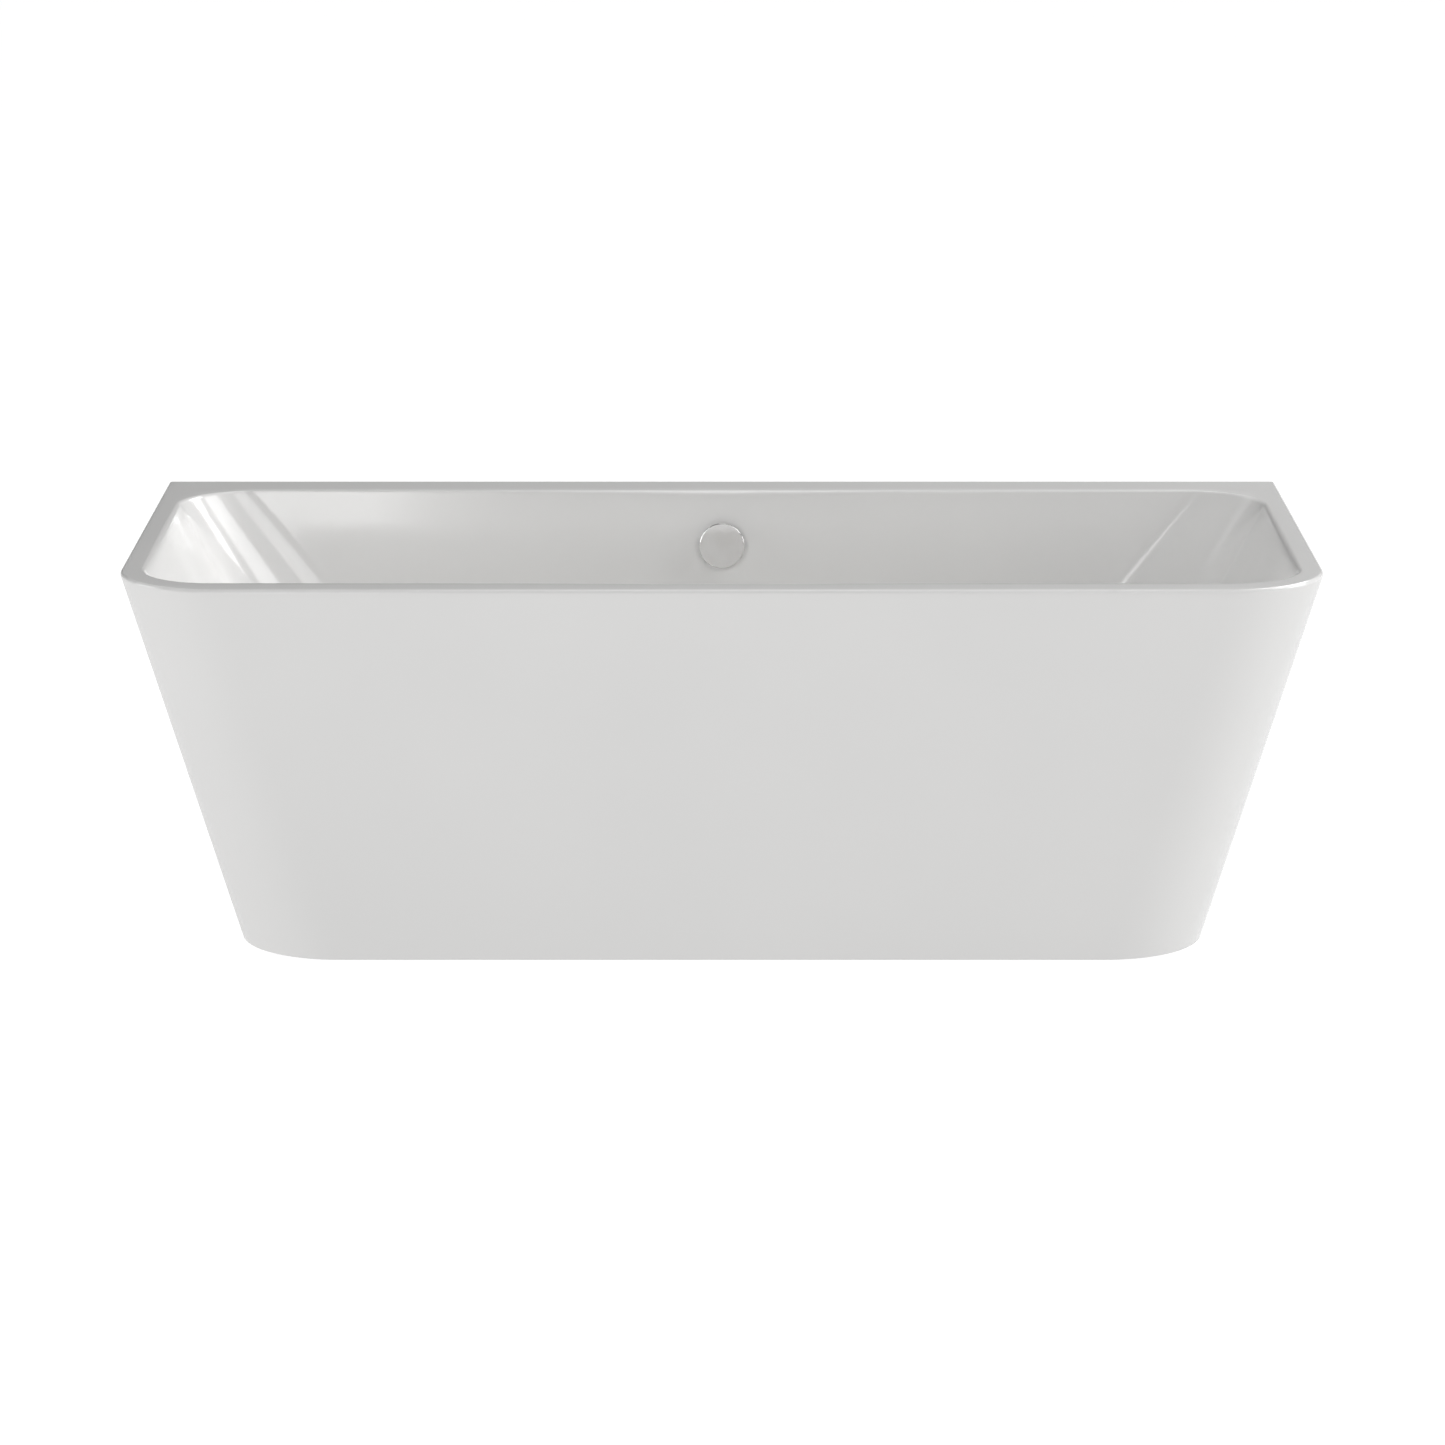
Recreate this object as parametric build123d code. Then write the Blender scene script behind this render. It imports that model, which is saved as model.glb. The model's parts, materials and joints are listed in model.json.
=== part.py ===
from build123d import *
import math
import os

# A double-skinned acrylic bath that stands on the floor with its flat back against a wall.
# An inner basin and an outer skirt are bonded together under the rim. A board under the basin's
# floor is screwed to a welded frame on five screw feet. A turning overflow knob works the
# pop-up plug through a cable, and a shallow cup trap drains out at the back.
# Millimetres. +X to the right, +Y to the wall, +Z up. The origin is on the floor, mid plan.

# ---- Overall shape
overall_length = 1700.0
overall_width = 800.0
overall_height = 580.0
base_inset = 150.0          # the skirt's foot is this far inside the rim, at the front and the ends
skirt_corner_r = 150.0
skirt_t = 5.0
skirt_floor_gap = 4.0       # the feet carry the bath, so the skirt stops just above the floor

# ---- Rim
rim_end_width = 32.0        # from the rim's outer edge to the opening, before the edges are rounded
rim_front_width = 47.0
rim_rear_width = 75.0
rim_edge_r = 5.0
rim_inner_r = 10.0
rim_lip_depth = 14.0        # the basin's rim turns down this far, and the skirt butts up to it
joggle_t = 4.0              # the skirt's inner ledge, bonded behind the rim's lip
joggle_lap = 20.0

# ---- Basin
basin_floor_z = 140.0
basin_t = 5.0
backing_t = 3.0             # glass-fibre laminate on the underside
backing_drop = 40.0         # the laminate starts this far under the rim
end_slope = 0.61            # how far a wall leans inwards for each millimetre down
front_slope = 0.24
rear_slope = 0.14
opening_corner_r = 108.0
floor_corner_r = 230.0
floor_blend_r = 90.0

# ---- Board and batten
board_t = 16.0
board_margin = 8.0          # the board stops this far inside the basin floor's flat part
board_hole_gap = 3.0        # radial room for the trap's lid
batten_length = 1200.0
batten_width = 30.0
batten_height = 25.0
batten_gap = 3.0            # from the batten to the skirt's inner ledge

# ---- Frame
tube_side = 25.0
tube_wall = 2.0
bar_inset = 33.5            # from the board's end to the middle of an end bar
rail_inset = 28.0           # from the board's long edge to the middle of a rail
tie_x = 125.0
tube_end_gap = 6.0          # from a tube's end to the skirt
block_length = 60.0
block_reach = 28.0          # how far a skirt block comes in from the skirt
block_margin = 13.0         # block material above and below the tube
access_half_width = 380.0   # opening in the skirt's back, for the pipes
access_drop = 60.0          # from the rim down to the opening's top
access_corner_r = 60.0
frame_screw_r = 2.5
frame_screw_head_r = 5.0
frame_screw_head_t = 3.0
frame_screw_bite = 10.0     # how far a screw goes into the board
rail_screw_inset = 157.0    # from an end bar to the rail screw beside it
bar_screw_y = 68.0          # each way from the drain

# ---- Fits
running_gap = 0.05          # radial, for pieces that slide or turn in one another
seated_gap = 0.02           # radial, for pieces that are fixed together
parting_gap = 0.3           # between faces of pieces that move apart

# ---- Feet
stem_r = 6.0
stem_top_gap = 2.0          # from a stem's end to the roof of its tube
stem_seat_z = 7.0
pad_r = 28.0
pad_t = 12.0
pad_boss_r = 12.0
pad_boss_h = 10.0
pad_edge_r = 2.0
weld_nut_af = 22.0
weld_nut_h = 18.0
lock_nut_af = 19.0
lock_nut_h = 8.0
key_hex_af = 17.0           # hexagon on a stem, for a spanner
key_hex_h = 10.0
foot_skirt_margin = 22.0    # from a front pad's edge to the skirt
foot_wall_margin = 30.0     # from a rear pad's edge to the skirt's back

# ---- Waste
waste_hole_r = 26.0
recess_r = 42.0
recess_depth = 2.0
waste_seal_t = 1.5
waste_flange_r = 38.0
waste_flange_t = 2.5
waste_bore_r = 23.0
waste_neck_r = 25.5
body_gasket_t = 4.0
body_gasket_r = 43.0
body_flange_r = 44.0
body_flange_t = 5.0
body_throat_r = 31.0
body_throat_h = 4.0
body_boss_drop = 15.0       # the throat hangs this far under the lid
neck_end_step = 2.0         # the flange's neck stops this far inside the throat
guide_hub_r = 9.0
guide_hub_h = 12.0
guide_drop = 9.5            # from the flange's underside to the guide
spoke_width = 4.0
spoke_count = 3

# ---- Plug
plug_r = 33.0
plug_t = 4.5
plug_edge_r = 1.5
plug_seal_t = 2.0
plug_seal_r = 31.0
plug_seal_bore_r = 20.0
plug_boss_r = 8.0
plug_boss_h = 10.0
plug_stem_r = 4.0
plug_stem_seat = 8.0
plug_stem_tail = 13.0       # stem below the guide
lift_pin_r = 3.0
lift_pin_length = 28.0
lift_pin_bite = 3.0         # how far the pin goes up into the stem

# ---- Trap
cup_r = 52.0
cup_wall = 3.0
cup_seal_t = 3.0
cup_floor_z = 15.0
lid_t = 4.0
lid_skirt_h = 14.0
baffle_inset = 3.0          # from the throat to the baffle
baffle_t = 3.0
baffle_gap = 10.0           # water passes under the baffle
socket_wall = 3.0
nut_wall = 3.0
nut_lip = 4.0
nut_length = 16.0
washer_t = 2.0

# ---- Overflow hose
hose_r = 18.0
hose_wall = 2.5
hose_seat = 20.0
hose_bend_r = 144.0
hose_frame_gap = 9.0        # the hose passes this far under the frame
inlet_reach = 30.0          # from the cup to the socket's mouth

# ---- Outlet pipe
pipe_r = 20.0
pipe_wall = 2.0
pipe_seat = 20.0
pipe_frame_gap = 3.0        # the pipe passes this far under the frame
pipe_bend_r = 50.0
pipe_straight = 4.0         # straight pipe between the nut and the bend
outlet_reach = 28.0
tail_reach = 217.0          # from the drain to the mouth of the house's socket
tail_seat = 35.0
tail_shoulder = 5.0
tail_gap = 0.15             # radial room for the house's pipe
tail_washer_gap = 0.4

# ---- Cable
cable_r = 3.0
cable_frame_gap = 22.0      # the cable passes this far under the frame
cable_bends = (70.0, 100.0, 50.0)
cable_straight = 10.0       # straight cable between the elbow and the last bend
cable_seat = 8.0
wire_hole_r = 1.5
elbow_r = 5.0
elbow_bend_r = 12.0
elbow_reach = 18.0          # from the cup to the elbow's end
sleeve_r = 6.5
sleeve_low = 2.0            # from the elbow's bend to the pin's bore
sleeve_length = 20.0
gland_boss_r = 8.0
gland_boss_reach = 8.0      # from the cup to the boss's end
gland_nut_af = 15.0
gland_nut_t = 6.0
clip_length = 8.0
clip_wall = 2.0
clip_stalk = 5.0
wall_clip_drop = 190.0      # from the overflow down to the upper clip

# ---- Overflow, measured along the axis of its hole from the face of the wall
overflow_drop = 82.0        # from the rim down to the hole
overflow_hole_r = 25.0
front_seal_t = 1.5
front_seal_r = 30.0
flange_r = 31.0
flange_t = 2.5
neck_r = 24.8
neck_bore_r = 22.0
neck_length = 26.0
hub_r = 8.0
rear_gasket_t = 4.0
rear_gasket_r = 34.0
housing_flange_r = 35.0
housing_flange_t = 4.0
housing_r = 31.0
housing_wall = 3.0
nozzle_gap = 1.0            # from the hose outlet to the gasket, and to the housing's back
nozzle_reach = 62.0
nozzle_seat = 18.0
cable_gland_up = 11.2
cable_gland_depth = 45.5
cable_gland_r = 6.0
cable_gland_reach = 40.0
cable_gland_seat = 10.0

# ---- Knob and crank
knob_r = 34.0
knob_top = 16.0
knob_face_t = 3.0
knob_wall = 3.0
knob_foot = 7.0             # water gets in under the knob's edge
knob_hub_r = 9.0
knob_hub_foot = 5.0
knob_edge_r = 1.0
spindle_r = 4.0
spindle_top = 12.0
spindle_depth = 42.0
grub_r = 2.0
grub_at = 9.5
grub_access_r = 2.2
crank_radius = 12.0
crank_boss_r = 8.0
crank_arm_r = 4.0
crank_t = 5.0
crank_pin_r = 2.0
crank_pin_length = 7.0
crank_rest_deg = 60.0

# ---- Worked out from the sizes above
half_width = overall_width / 2
skirt_slope = base_inset / overall_height
skirt_stretch = math.hypot(1, skirt_slope)   # horizontal length of one millimetre of skirt thickness
# A rounded edge stops short of the sharp corner, so the sharp outline is a little larger.
edge_overshoot = rim_edge_r * (skirt_slope + skirt_stretch - 1)
sharp_half_length = overall_length / 2 + edge_overshoot
sharp_front_y = -half_width - edge_overshoot
opening_half = overall_length / 2 - rim_end_width
opening_front_y = -half_width + rim_front_width
opening_rear_y = half_width - rim_rear_width
corner_growth = (floor_corner_r - opening_corner_r) / (overall_height - basin_floor_z)
floor_depth = overall_height - basin_floor_z
floor_front_y = opening_front_y + front_slope * floor_depth
floor_rear_y = opening_rear_y - rear_slope * floor_depth
drain_y = (floor_front_y + floor_rear_y) / 2
wall_t = basin_t + backing_t
board_top_z = basin_floor_z - wall_t
frame_top_z = board_top_z - board_t
frame_bottom_z = frame_top_z - tube_side
frame_mid_z = frame_top_z - tube_side / 2
hose_socket_r = hose_r + seated_gap + socket_wall
pipe_socket_r = pipe_r + seated_gap + socket_wall
tail_socket_r = pipe_r + tail_gap + socket_wall
inlet_z = frame_bottom_z - hose_frame_gap - hose_r
pipe_z = frame_bottom_z - pipe_frame_gap - pipe_r
cable_z = frame_bottom_z - cable_frame_gap - cable_r
inlet_mouth_y = drain_y + cup_r + inlet_reach
outlet_mouth_x = cup_r + outlet_reach
pipe_x = outlet_mouth_x + washer_t + nut_lip + pipe_straight + pipe_bend_r
tail_y = drain_y + tail_reach
gland_boss_x = cup_r + gland_boss_reach
elbow_x = cup_r + elbow_reach
cable_side_x = elbow_x + cable_straight + cable_bends[-1]
baffle_x = body_throat_r + baffle_inset
nozzle_depth = wall_t + rear_gasket_t + nozzle_gap + hose_socket_r
housing_depth = nozzle_depth + hose_socket_r + nozzle_gap


def plan_face(half_x, front, rear, front_r, rear_r, z):
    """Plan outline at height z, the same on both sides of X = 0. A radius of 0 is a square corner."""
    edges = [Line((-half_x + front_r, front), (half_x - front_r, front))]
    edges += [Line((half_x, front + front_r), (half_x, rear - rear_r))]
    edges += [Line((half_x - rear_r, rear), (-half_x + rear_r, rear))]
    edges += [Line((-half_x, rear - rear_r), (-half_x, front + front_r))]
    for side in (-1, 1):
        edges += [CenterArc((side * (half_x - front_r), front + front_r), front_r, 225 + side * 45, 90)]
        if rear_r:
            edges += [CenterArc((side * (half_x - rear_r), rear - rear_r), rear_r, 45 - side * 45, 90)]
    return Pos(0, 0, z) * make_face(Curve() + edges)


def skirt_half_x(z, inset=0.0):
    return sharp_half_length - skirt_slope * (overall_height - z) - inset * skirt_stretch


def skirt_front_y(z, inset=0.0):
    return sharp_front_y + skirt_slope * (overall_height - z) + inset * skirt_stretch


def skirt_space(inset, low, high):
    """The space inside the skirt's outer faces, taken in by inset, between two heights."""
    radius = skirt_corner_r - inset
    rear = half_width - inset
    beyond = rear + skirt_corner_r
    faces = [
        plan_face(skirt_half_x(z, inset), skirt_front_y(z, inset), beyond, radius, 0, z)
        for z in (low, high)
    ]
    # The flat back is cut, not lofted, so that it is a true plane.
    cut = block(-overall_length, overall_length, rear, beyond + 1, low - 1, high + 1)
    return loft(faces, ruled=True) - cut


def basin_section(z, offset):
    """Plan of the basin's space at height z, with its walls moved out by offset."""
    down = overall_height - z
    half_x = opening_half - end_slope * down + offset * math.hypot(1, end_slope)
    front = opening_front_y + front_slope * down - offset * math.hypot(1, front_slope)
    rear = opening_rear_y - rear_slope * down + offset * math.hypot(1, rear_slope)
    radius = opening_corner_r + corner_growth * down + offset
    return plan_face(half_x, front, rear, radius, radius, z)


def basin_space(offset, high=overall_height):
    """The bathing space with its walls and floor moved out by offset."""
    low = basin_floor_z - offset
    space = loft([basin_section(low, offset), basin_section(high, offset)], ruled=True)
    floor_edges = space.edges().group_by(Axis.Z)[0]
    return fillet(floor_edges, floor_blend_r + offset)


def flat_floor(slope):
    """How far the flat floor stops short of a wall that leans by slope."""
    lean = math.degrees(math.atan(slope))
    return floor_blend_r * math.tan(math.radians((90 - lean) / 2))


def post(radius, low, high, x=0.0, y=0.0):
    """Upright cylinder between two heights."""
    return Pos(x, y, (low + high) / 2) * Cylinder(radius, high - low)


def ring(outer_r, inner_r, low, high, x=0.0, y=0.0):
    """Upright ring between two heights."""
    over = 1.0
    return post(outer_r, low, high, x, y) - post(inner_r, low - over, high + over, x, y)


def block(x0, x1, y0, y1, z0, z1):
    """Box between two corners."""
    return Pos((x0 + x1) / 2, (y0 + y1) / 2, (z0 + z1) / 2) * Box(x1 - x0, y1 - y0, z1 - z0)


def hex_nut(across_flats, bore_r, low, high, x=0.0, y=0.0):
    """Upright hexagon nut with a plain bore."""
    prism = Pos(x, y, low) * extrude(RegularPolygon(across_flats / 2, 6, major_radius=False), high - low)
    return prism - post(bore_r, low, high, x, y)


def rod(start, direction, radius, length):
    """Cylinder that starts at a point and runs along a direction."""
    return Plane(origin=start, z_dir=direction).location * Pos(0, 0, length / 2) * Cylinder(radius, length)


def sleeve(start, direction, outer_r, inner_r, length):
    """Tube that starts at a point and runs along a direction, open at both ends."""
    over = 1.0
    back = Vector(start) - Vector(direction).normalized() * over
    return rod(start, direction, outer_r, length) - rod(back, direction, inner_r, length + 2 * over)


# The overflow's own frame: local Z points out of the wall into the bath, local Y up the wall.
overflow_z = overall_height - overflow_drop
overflow_y = opening_rear_y - rear_slope * overflow_drop
overflow_frame = Plane(origin=(0, overflow_y, overflow_z), x_dir=(1, 0, 0), z_dir=(0, -1, rear_slope))


def at_overflow(shape):
    return overflow_frame.location * shape


def overflow_point(x, y, w):
    """World position of a point given in the overflow's frame."""
    return overflow_frame.from_local_coords((x, y, w))


# ---------------------------------------------------------------- shells
def make_basin():
    rim = skirt_space(0, overall_height - rim_lip_depth, overall_height)
    top_edges = rim.edges().group_by(Axis.Z)[-1].filter_by(lambda e: e.center().Y < half_width - 1)
    rim = fillet(top_edges, rim_edge_r)
    under = skirt_space(skirt_t, overall_height - rim_lip_depth, overall_height - basin_t)
    body = (rim - under) + (basin_space(basin_t) - basin_space(0))
    body -= basin_space(0)
    opening_edges = (
        body.edges().filter_by(lambda e: abs(e.center().Z - overall_height) < 0.01)
        .filter_by(lambda e: e.bounding_box().max.Y < half_width - rim_rear_width / 2)
        .filter_by(lambda e: e.bounding_box().min.Y > -half_width + rim_front_width / 2)
        .filter_by(lambda e: abs(e.center().X) < overall_length / 2 - rim_end_width / 2)
    )
    body = fillet(opening_edges, rim_inner_r)
    body -= post(recess_r, basin_floor_z - recess_depth, basin_floor_z + 1, 0, drain_y)
    body -= post(waste_hole_r, basin_floor_z - 2 * wall_t, basin_floor_z + 1, 0, drain_y)
    return body - at_overflow(Cylinder(overflow_hole_r, 6 * wall_t))


def make_backing():
    top = overall_height - backing_drop
    body = basin_space(wall_t, top) - basin_space(basin_t, top)
    body -= post(waste_hole_r, basin_floor_z - 2 * wall_t, basin_floor_z + 1, 0, drain_y)
    return body - at_overflow(Cylinder(overflow_hole_r, 6 * wall_t))


def make_skirt():
    seam_z = overall_height - rim_lip_depth
    wall = skirt_space(0, skirt_floor_gap, seam_z) - skirt_space(skirt_t, skirt_floor_gap, seam_z)
    ledge_low = seam_z - joggle_lap
    ledge_top = overall_height - basin_t
    ledge = skirt_space(skirt_t, ledge_low, ledge_top)
    ledge -= skirt_space(skirt_t + joggle_t, ledge_low, ledge_top)
    access_top = overall_height - access_drop
    access = extrude(
        Plane.XZ.offset(-half_width - 1) * round_topped(access_half_width, access_top, access_corner_r),
        skirt_t + 2,
    )
    return wall + ledge - access


def round_topped(half_x, top, radius):
    """Upright outline of an opening that starts under the floor line and has round upper corners."""
    shape = Pos(0, top / 2) * Rectangle(2 * half_x, top)
    return fillet(shape.vertices().group_by(Axis.Y)[-1], radius)


# ---------------------------------------------------------------- board, batten and frame
board_half_x = opening_half - end_slope * floor_depth - flat_floor(end_slope) - board_margin
board_front_y = floor_front_y + flat_floor(front_slope) + board_margin
board_rear_y = floor_rear_y - flat_floor(rear_slope) - board_margin
bar_x = board_half_x - bar_inset
rail_front_y = board_front_y + rail_inset
rail_rear_y = board_rear_y - rail_inset
lid_r = cup_r + seated_gap + cup_wall
throat_low = board_top_z - body_gasket_t - body_flange_t - body_throat_h   # underside of the throat ring
lid_low = throat_low - lid_t
rail_half = bar_x - tube_side / 2
bar_front_y = skirt_front_y(frame_mid_z, skirt_t) + tube_end_gap
bar_rear_y = half_width - skirt_t - tube_end_gap
outrigger_end = skirt_half_x(frame_mid_z, skirt_t) - tube_end_gap
weld_nut_low = frame_bottom_z - weld_nut_h
lock_nut_low = weld_nut_low - lock_nut_h
stem_top = frame_top_z - tube_wall - stem_top_gap
foot_front_y = skirt_front_y(0, skirt_t) + foot_skirt_margin + pad_r
foot_rear_y = half_width - skirt_t - foot_wall_margin - pad_r
foot_places = [(side * bar_x, y) for y in (foot_front_y, foot_rear_y) for side in (-1, 1)]
foot_places.append((0, rail_front_y))
rail_screw_x = bar_x - rail_screw_inset
screw_places = [(side * rail_screw_x, y) for side in (-1, 1) for y in (rail_front_y, rail_rear_y)]
screw_places += [(side * bar_x, drain_y + way * bar_screw_y) for side in (-1, 1) for way in (-1, 1)]
screw_hole_r = frame_screw_r + seated_gap


def make_board():
    radius = floor_corner_r - flat_floor(front_slope)
    outline = plan_face(board_half_x, board_front_y, board_rear_y, radius, radius, frame_top_z)
    board = extrude(outline, board_t)
    board -= post(lid_r + board_hole_gap, frame_top_z - 1, board_top_z + 1, 0, drain_y)
    for x, y in screw_places:
        board -= post(screw_hole_r, frame_top_z - 1, frame_top_z + frame_screw_bite, x, y)
    return board


def make_batten():
    rear = half_width - skirt_t - joggle_t - batten_gap
    top = overall_height - basin_t
    half_x = batten_length / 2
    return block(-half_x, half_x, rear - batten_width, rear, top - batten_height, top)


def solid_tube(x0, x1, y0, y1):
    return block(x0, x1, y0, y1, frame_bottom_z, frame_top_z)


def tube_along_x(x0, x1, y):
    half = tube_side / 2
    outer = solid_tube(x0, x1, y - half, y + half)
    inner = half - tube_wall
    return outer - block(x0 - 1, x1 + 1, y - inner, y + inner, frame_mid_z - inner, frame_mid_z + inner)


def tube_along_y(x, y0, y1):
    half = tube_side / 2
    outer = solid_tube(x - half, x + half, y0, y1)
    inner = half - tube_wall
    return outer - block(x - inner, x + inner, y0 - 1, y1 + 1, frame_mid_z - inner, frame_mid_z + inner)


def fit_out_tube(tube):
    """Adds the weld nuts and screw holes that fall on this tube."""
    box = tube.bounding_box()

    def on_tube(x, y):
        return box.min.X < x < box.max.X and box.min.Y < y < box.max.Y

    for x, y in screw_places:
        if on_tube(x, y):
            tube -= post(screw_hole_r, frame_bottom_z - 1, frame_top_z + 1, x, y)
    for x, y in foot_places:
        if on_tube(x, y):
            bore_r = stem_r + running_gap
            tube += hex_nut(weld_nut_af, bore_r, weld_nut_low, frame_bottom_z, x, y)
            tube -= post(bore_r, weld_nut_low - 1, frame_bottom_z + tube_wall + 1, x, y)
    return tube


def make_rail(y):
    return fit_out_tube(tube_along_x(-rail_half, rail_half, y))


def make_bar(side):
    return fit_out_tube(tube_along_y(side * bar_x, bar_front_y, bar_rear_y))


def make_tie(side):
    half = tube_side / 2
    return tube_along_y(side * tie_x, rail_front_y + half, rail_rear_y - half)


def make_outrigger(side):
    ends = sorted((side * (bar_x + tube_side / 2), side * outrigger_end))
    return tube_along_x(ends[0], ends[1], drain_y)


def make_skirt_blocks():
    """Blocks bonded to the skirt's inner face, each pocketed over a tube's end."""
    half = block_length / 2
    low = frame_bottom_z - block_margin
    high = frame_top_z + block_margin
    inside = skirt_space(skirt_t, skirt_floor_gap, overall_height / 2)
    front_in = skirt_front_y(frame_mid_z, skirt_t) + block_reach
    rear_in = half_width - skirt_t - block_reach
    end_in = skirt_half_x(frame_mid_z, skirt_t) - block_reach
    side_half = tube_side / 2
    blocks = []
    for side in (-1, 1):
        x = side * bar_x
        tube = solid_tube(x - side_half, x + side_half, bar_front_y, bar_rear_y)
        front = block(x - half, x + half, -half_width, front_in, low, high)
        rear = block(x - half, x + half, rear_in, half_width, low, high)
        blocks += [(front & inside) - tube, (rear & inside) - tube]
        ends = sorted((side * end_in, side * overall_length / 2))
        outer = block(ends[0], ends[1], drain_y - half, drain_y + half, low, high)
        reach = sorted((side * bar_x, side * outrigger_end))
        tube = solid_tube(reach[0], reach[1], drain_y - side_half, drain_y + side_half)
        blocks.append((outer & inside) - tube)
    return Compound(children=blocks)


def make_frame_screws():
    screws = []
    for x, y in screw_places:
        shank = post(frame_screw_r, frame_bottom_z, frame_top_z + frame_screw_bite, x, y)
        head = post(frame_screw_head_r, frame_bottom_z - frame_screw_head_t, frame_bottom_z, x, y)
        screws.append(shank + head)
    return Compound(children=screws)


# ---------------------------------------------------------------- feet
def make_lock_nuts():
    nuts = [
        hex_nut(lock_nut_af, stem_r + running_gap, lock_nut_low, weld_nut_low, x, y) for x, y in foot_places
    ]
    return Compound(children=nuts)


def make_stem(place):
    x, y = place
    hex_low = pad_t + pad_boss_h
    stem = post(stem_r, stem_seat_z, stem_top, x, y)
    return stem + hex_nut(key_hex_af, stem_r / 2, hex_low, hex_low + key_hex_h, x, y)


def make_pad(place):
    x, y = place
    pad = post(pad_r, 0, pad_t, x, y)
    pad = fillet(pad.edges().group_by(Axis.Z)[-1], pad_edge_r)
    pad += post(pad_boss_r, pad_t, pad_t + pad_boss_h, x, y)
    return pad - post(stem_r + seated_gap, stem_seat_z, pad_t + pad_boss_h + 1, x, y)


# ---------------------------------------------------------------- waste, plug and trap
recess_z = basin_floor_z - recess_depth
flange_low = recess_z + waste_seal_t
flange_top = flange_low + waste_flange_t
body_top = board_top_z - body_gasket_t
boss_low = lid_low - body_boss_drop
guide_top = flange_low - guide_drop
guide_low = guide_top - guide_hub_h
plug_seal_low = flange_top + parting_gap
plug_low = plug_seal_low + plug_seal_t
stem_low = guide_low - plug_stem_tail
cup_top = lid_low - cup_seal_t
cup_inner_r = cup_r - cup_wall
pin_top = stem_low + lift_pin_bite
pin_low = pin_top - lift_pin_length


def spokes(reach, low, high, hole_r):
    """Flat arms from a hub's bore out to a wall, as a wheel with a clear middle."""
    arms = []
    for number in range(spoke_count):
        arm = Pos(reach / 2, 0, (low + high) / 2) * Box(reach, spoke_width, high - low)
        arms.append(Rot(0, 0, 90 + 360 * number / spoke_count) * arm)
    wheel = arms[0] + arms[1:]
    return wheel - post(hole_r, low - 1, high + 1)


def make_waste_seal():
    return ring(waste_flange_r - 1, waste_neck_r + seated_gap, recess_z, flange_low, 0, drain_y)


def make_waste_flange():
    neck_low = boss_low + neck_end_step
    flange = post(waste_flange_r, flange_low, flange_top, 0, drain_y)
    flange = fillet(flange.edges().group_by(Axis.Z)[-1], waste_flange_t / 2)
    flange += post(waste_neck_r, neck_low, flange_low, 0, drain_y)
    flange -= post(waste_bore_r, neck_low - 1, flange_top + 1, 0, drain_y)
    guide_bore_r = plug_stem_r + running_gap
    arms = spokes((waste_bore_r + waste_neck_r) / 2, guide_low, guide_top, guide_hub_r - 1)
    flange += Pos(0, drain_y, 0) * arms
    return flange + ring(guide_hub_r, guide_bore_r, guide_low, guide_top, 0, drain_y)


def make_body_gasket():
    return ring(body_gasket_r, waste_neck_r + seated_gap, body_top, board_top_z, 0, drain_y)


def make_waste_body():
    bore_r = waste_neck_r + seated_gap
    body = post(body_flange_r, body_top - body_flange_t, body_top, 0, drain_y)
    body += post(body_throat_r, boss_low, body_top - body_flange_t, 0, drain_y)
    body += post(lid_r, lid_low, throat_low, 0, drain_y)
    body += ring(lid_r, cup_r + seated_gap, lid_low - lid_skirt_h, lid_low, 0, drain_y)
    return body - post(bore_r, boss_low - 1, body_top + 1, 0, drain_y)


def make_cup_seal():
    return ring(cup_r, cup_inner_r, cup_top, lid_low, 0, drain_y)


def make_trap_cup():
    cup = post(cup_r, cup_floor_z, cup_top, 0, drain_y)
    cup += rod((0, drain_y, inlet_z), (0, 1, 0), hose_socket_r, cup_r + inlet_reach)
    cup += rod((0, drain_y, pipe_z), (1, 0, 0), pipe_socket_r, outlet_mouth_x)
    cup += rod((0, drain_y, cable_z), (-1, 0, 0), gland_boss_r, gland_boss_x)
    inside = post(cup_inner_r, cup_floor_z + cup_wall, cup_top + 1, 0, drain_y)
    cup -= inside
    baffle_low = cup_floor_z + cup_wall + baffle_gap
    baffle = block(baffle_x, baffle_x + baffle_t, drain_y - cup_r, drain_y + cup_r, baffle_low, cup_top)
    cup += baffle & post(cup_r - cup_wall / 2, baffle_low, cup_top, 0, drain_y)
    over = 1.0
    hose_stop = inlet_mouth_y - hose_seat
    cup -= rod((0, drain_y, inlet_z), (0, 1, 0), hose_r - hose_wall, cup_r + inlet_reach)
    cup -= rod((0, hose_stop, inlet_z), (0, 1, 0), hose_r + seated_gap, hose_seat + over)
    pipe_stop = outlet_mouth_x - pipe_seat
    bore_from = baffle_x + baffle_t + over
    cup -= rod((bore_from, drain_y, pipe_z), (1, 0, 0), pipe_r - pipe_wall, cup_r + outlet_reach - bore_from)
    cup -= rod((pipe_stop, drain_y, pipe_z), (1, 0, 0), pipe_r + seated_gap, pipe_seat + over)
    cup -= rod((-cup_inner_r / 2, drain_y, cable_z), (-1, 0, 0), elbow_r + seated_gap, gland_boss_x)
    return cup


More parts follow.
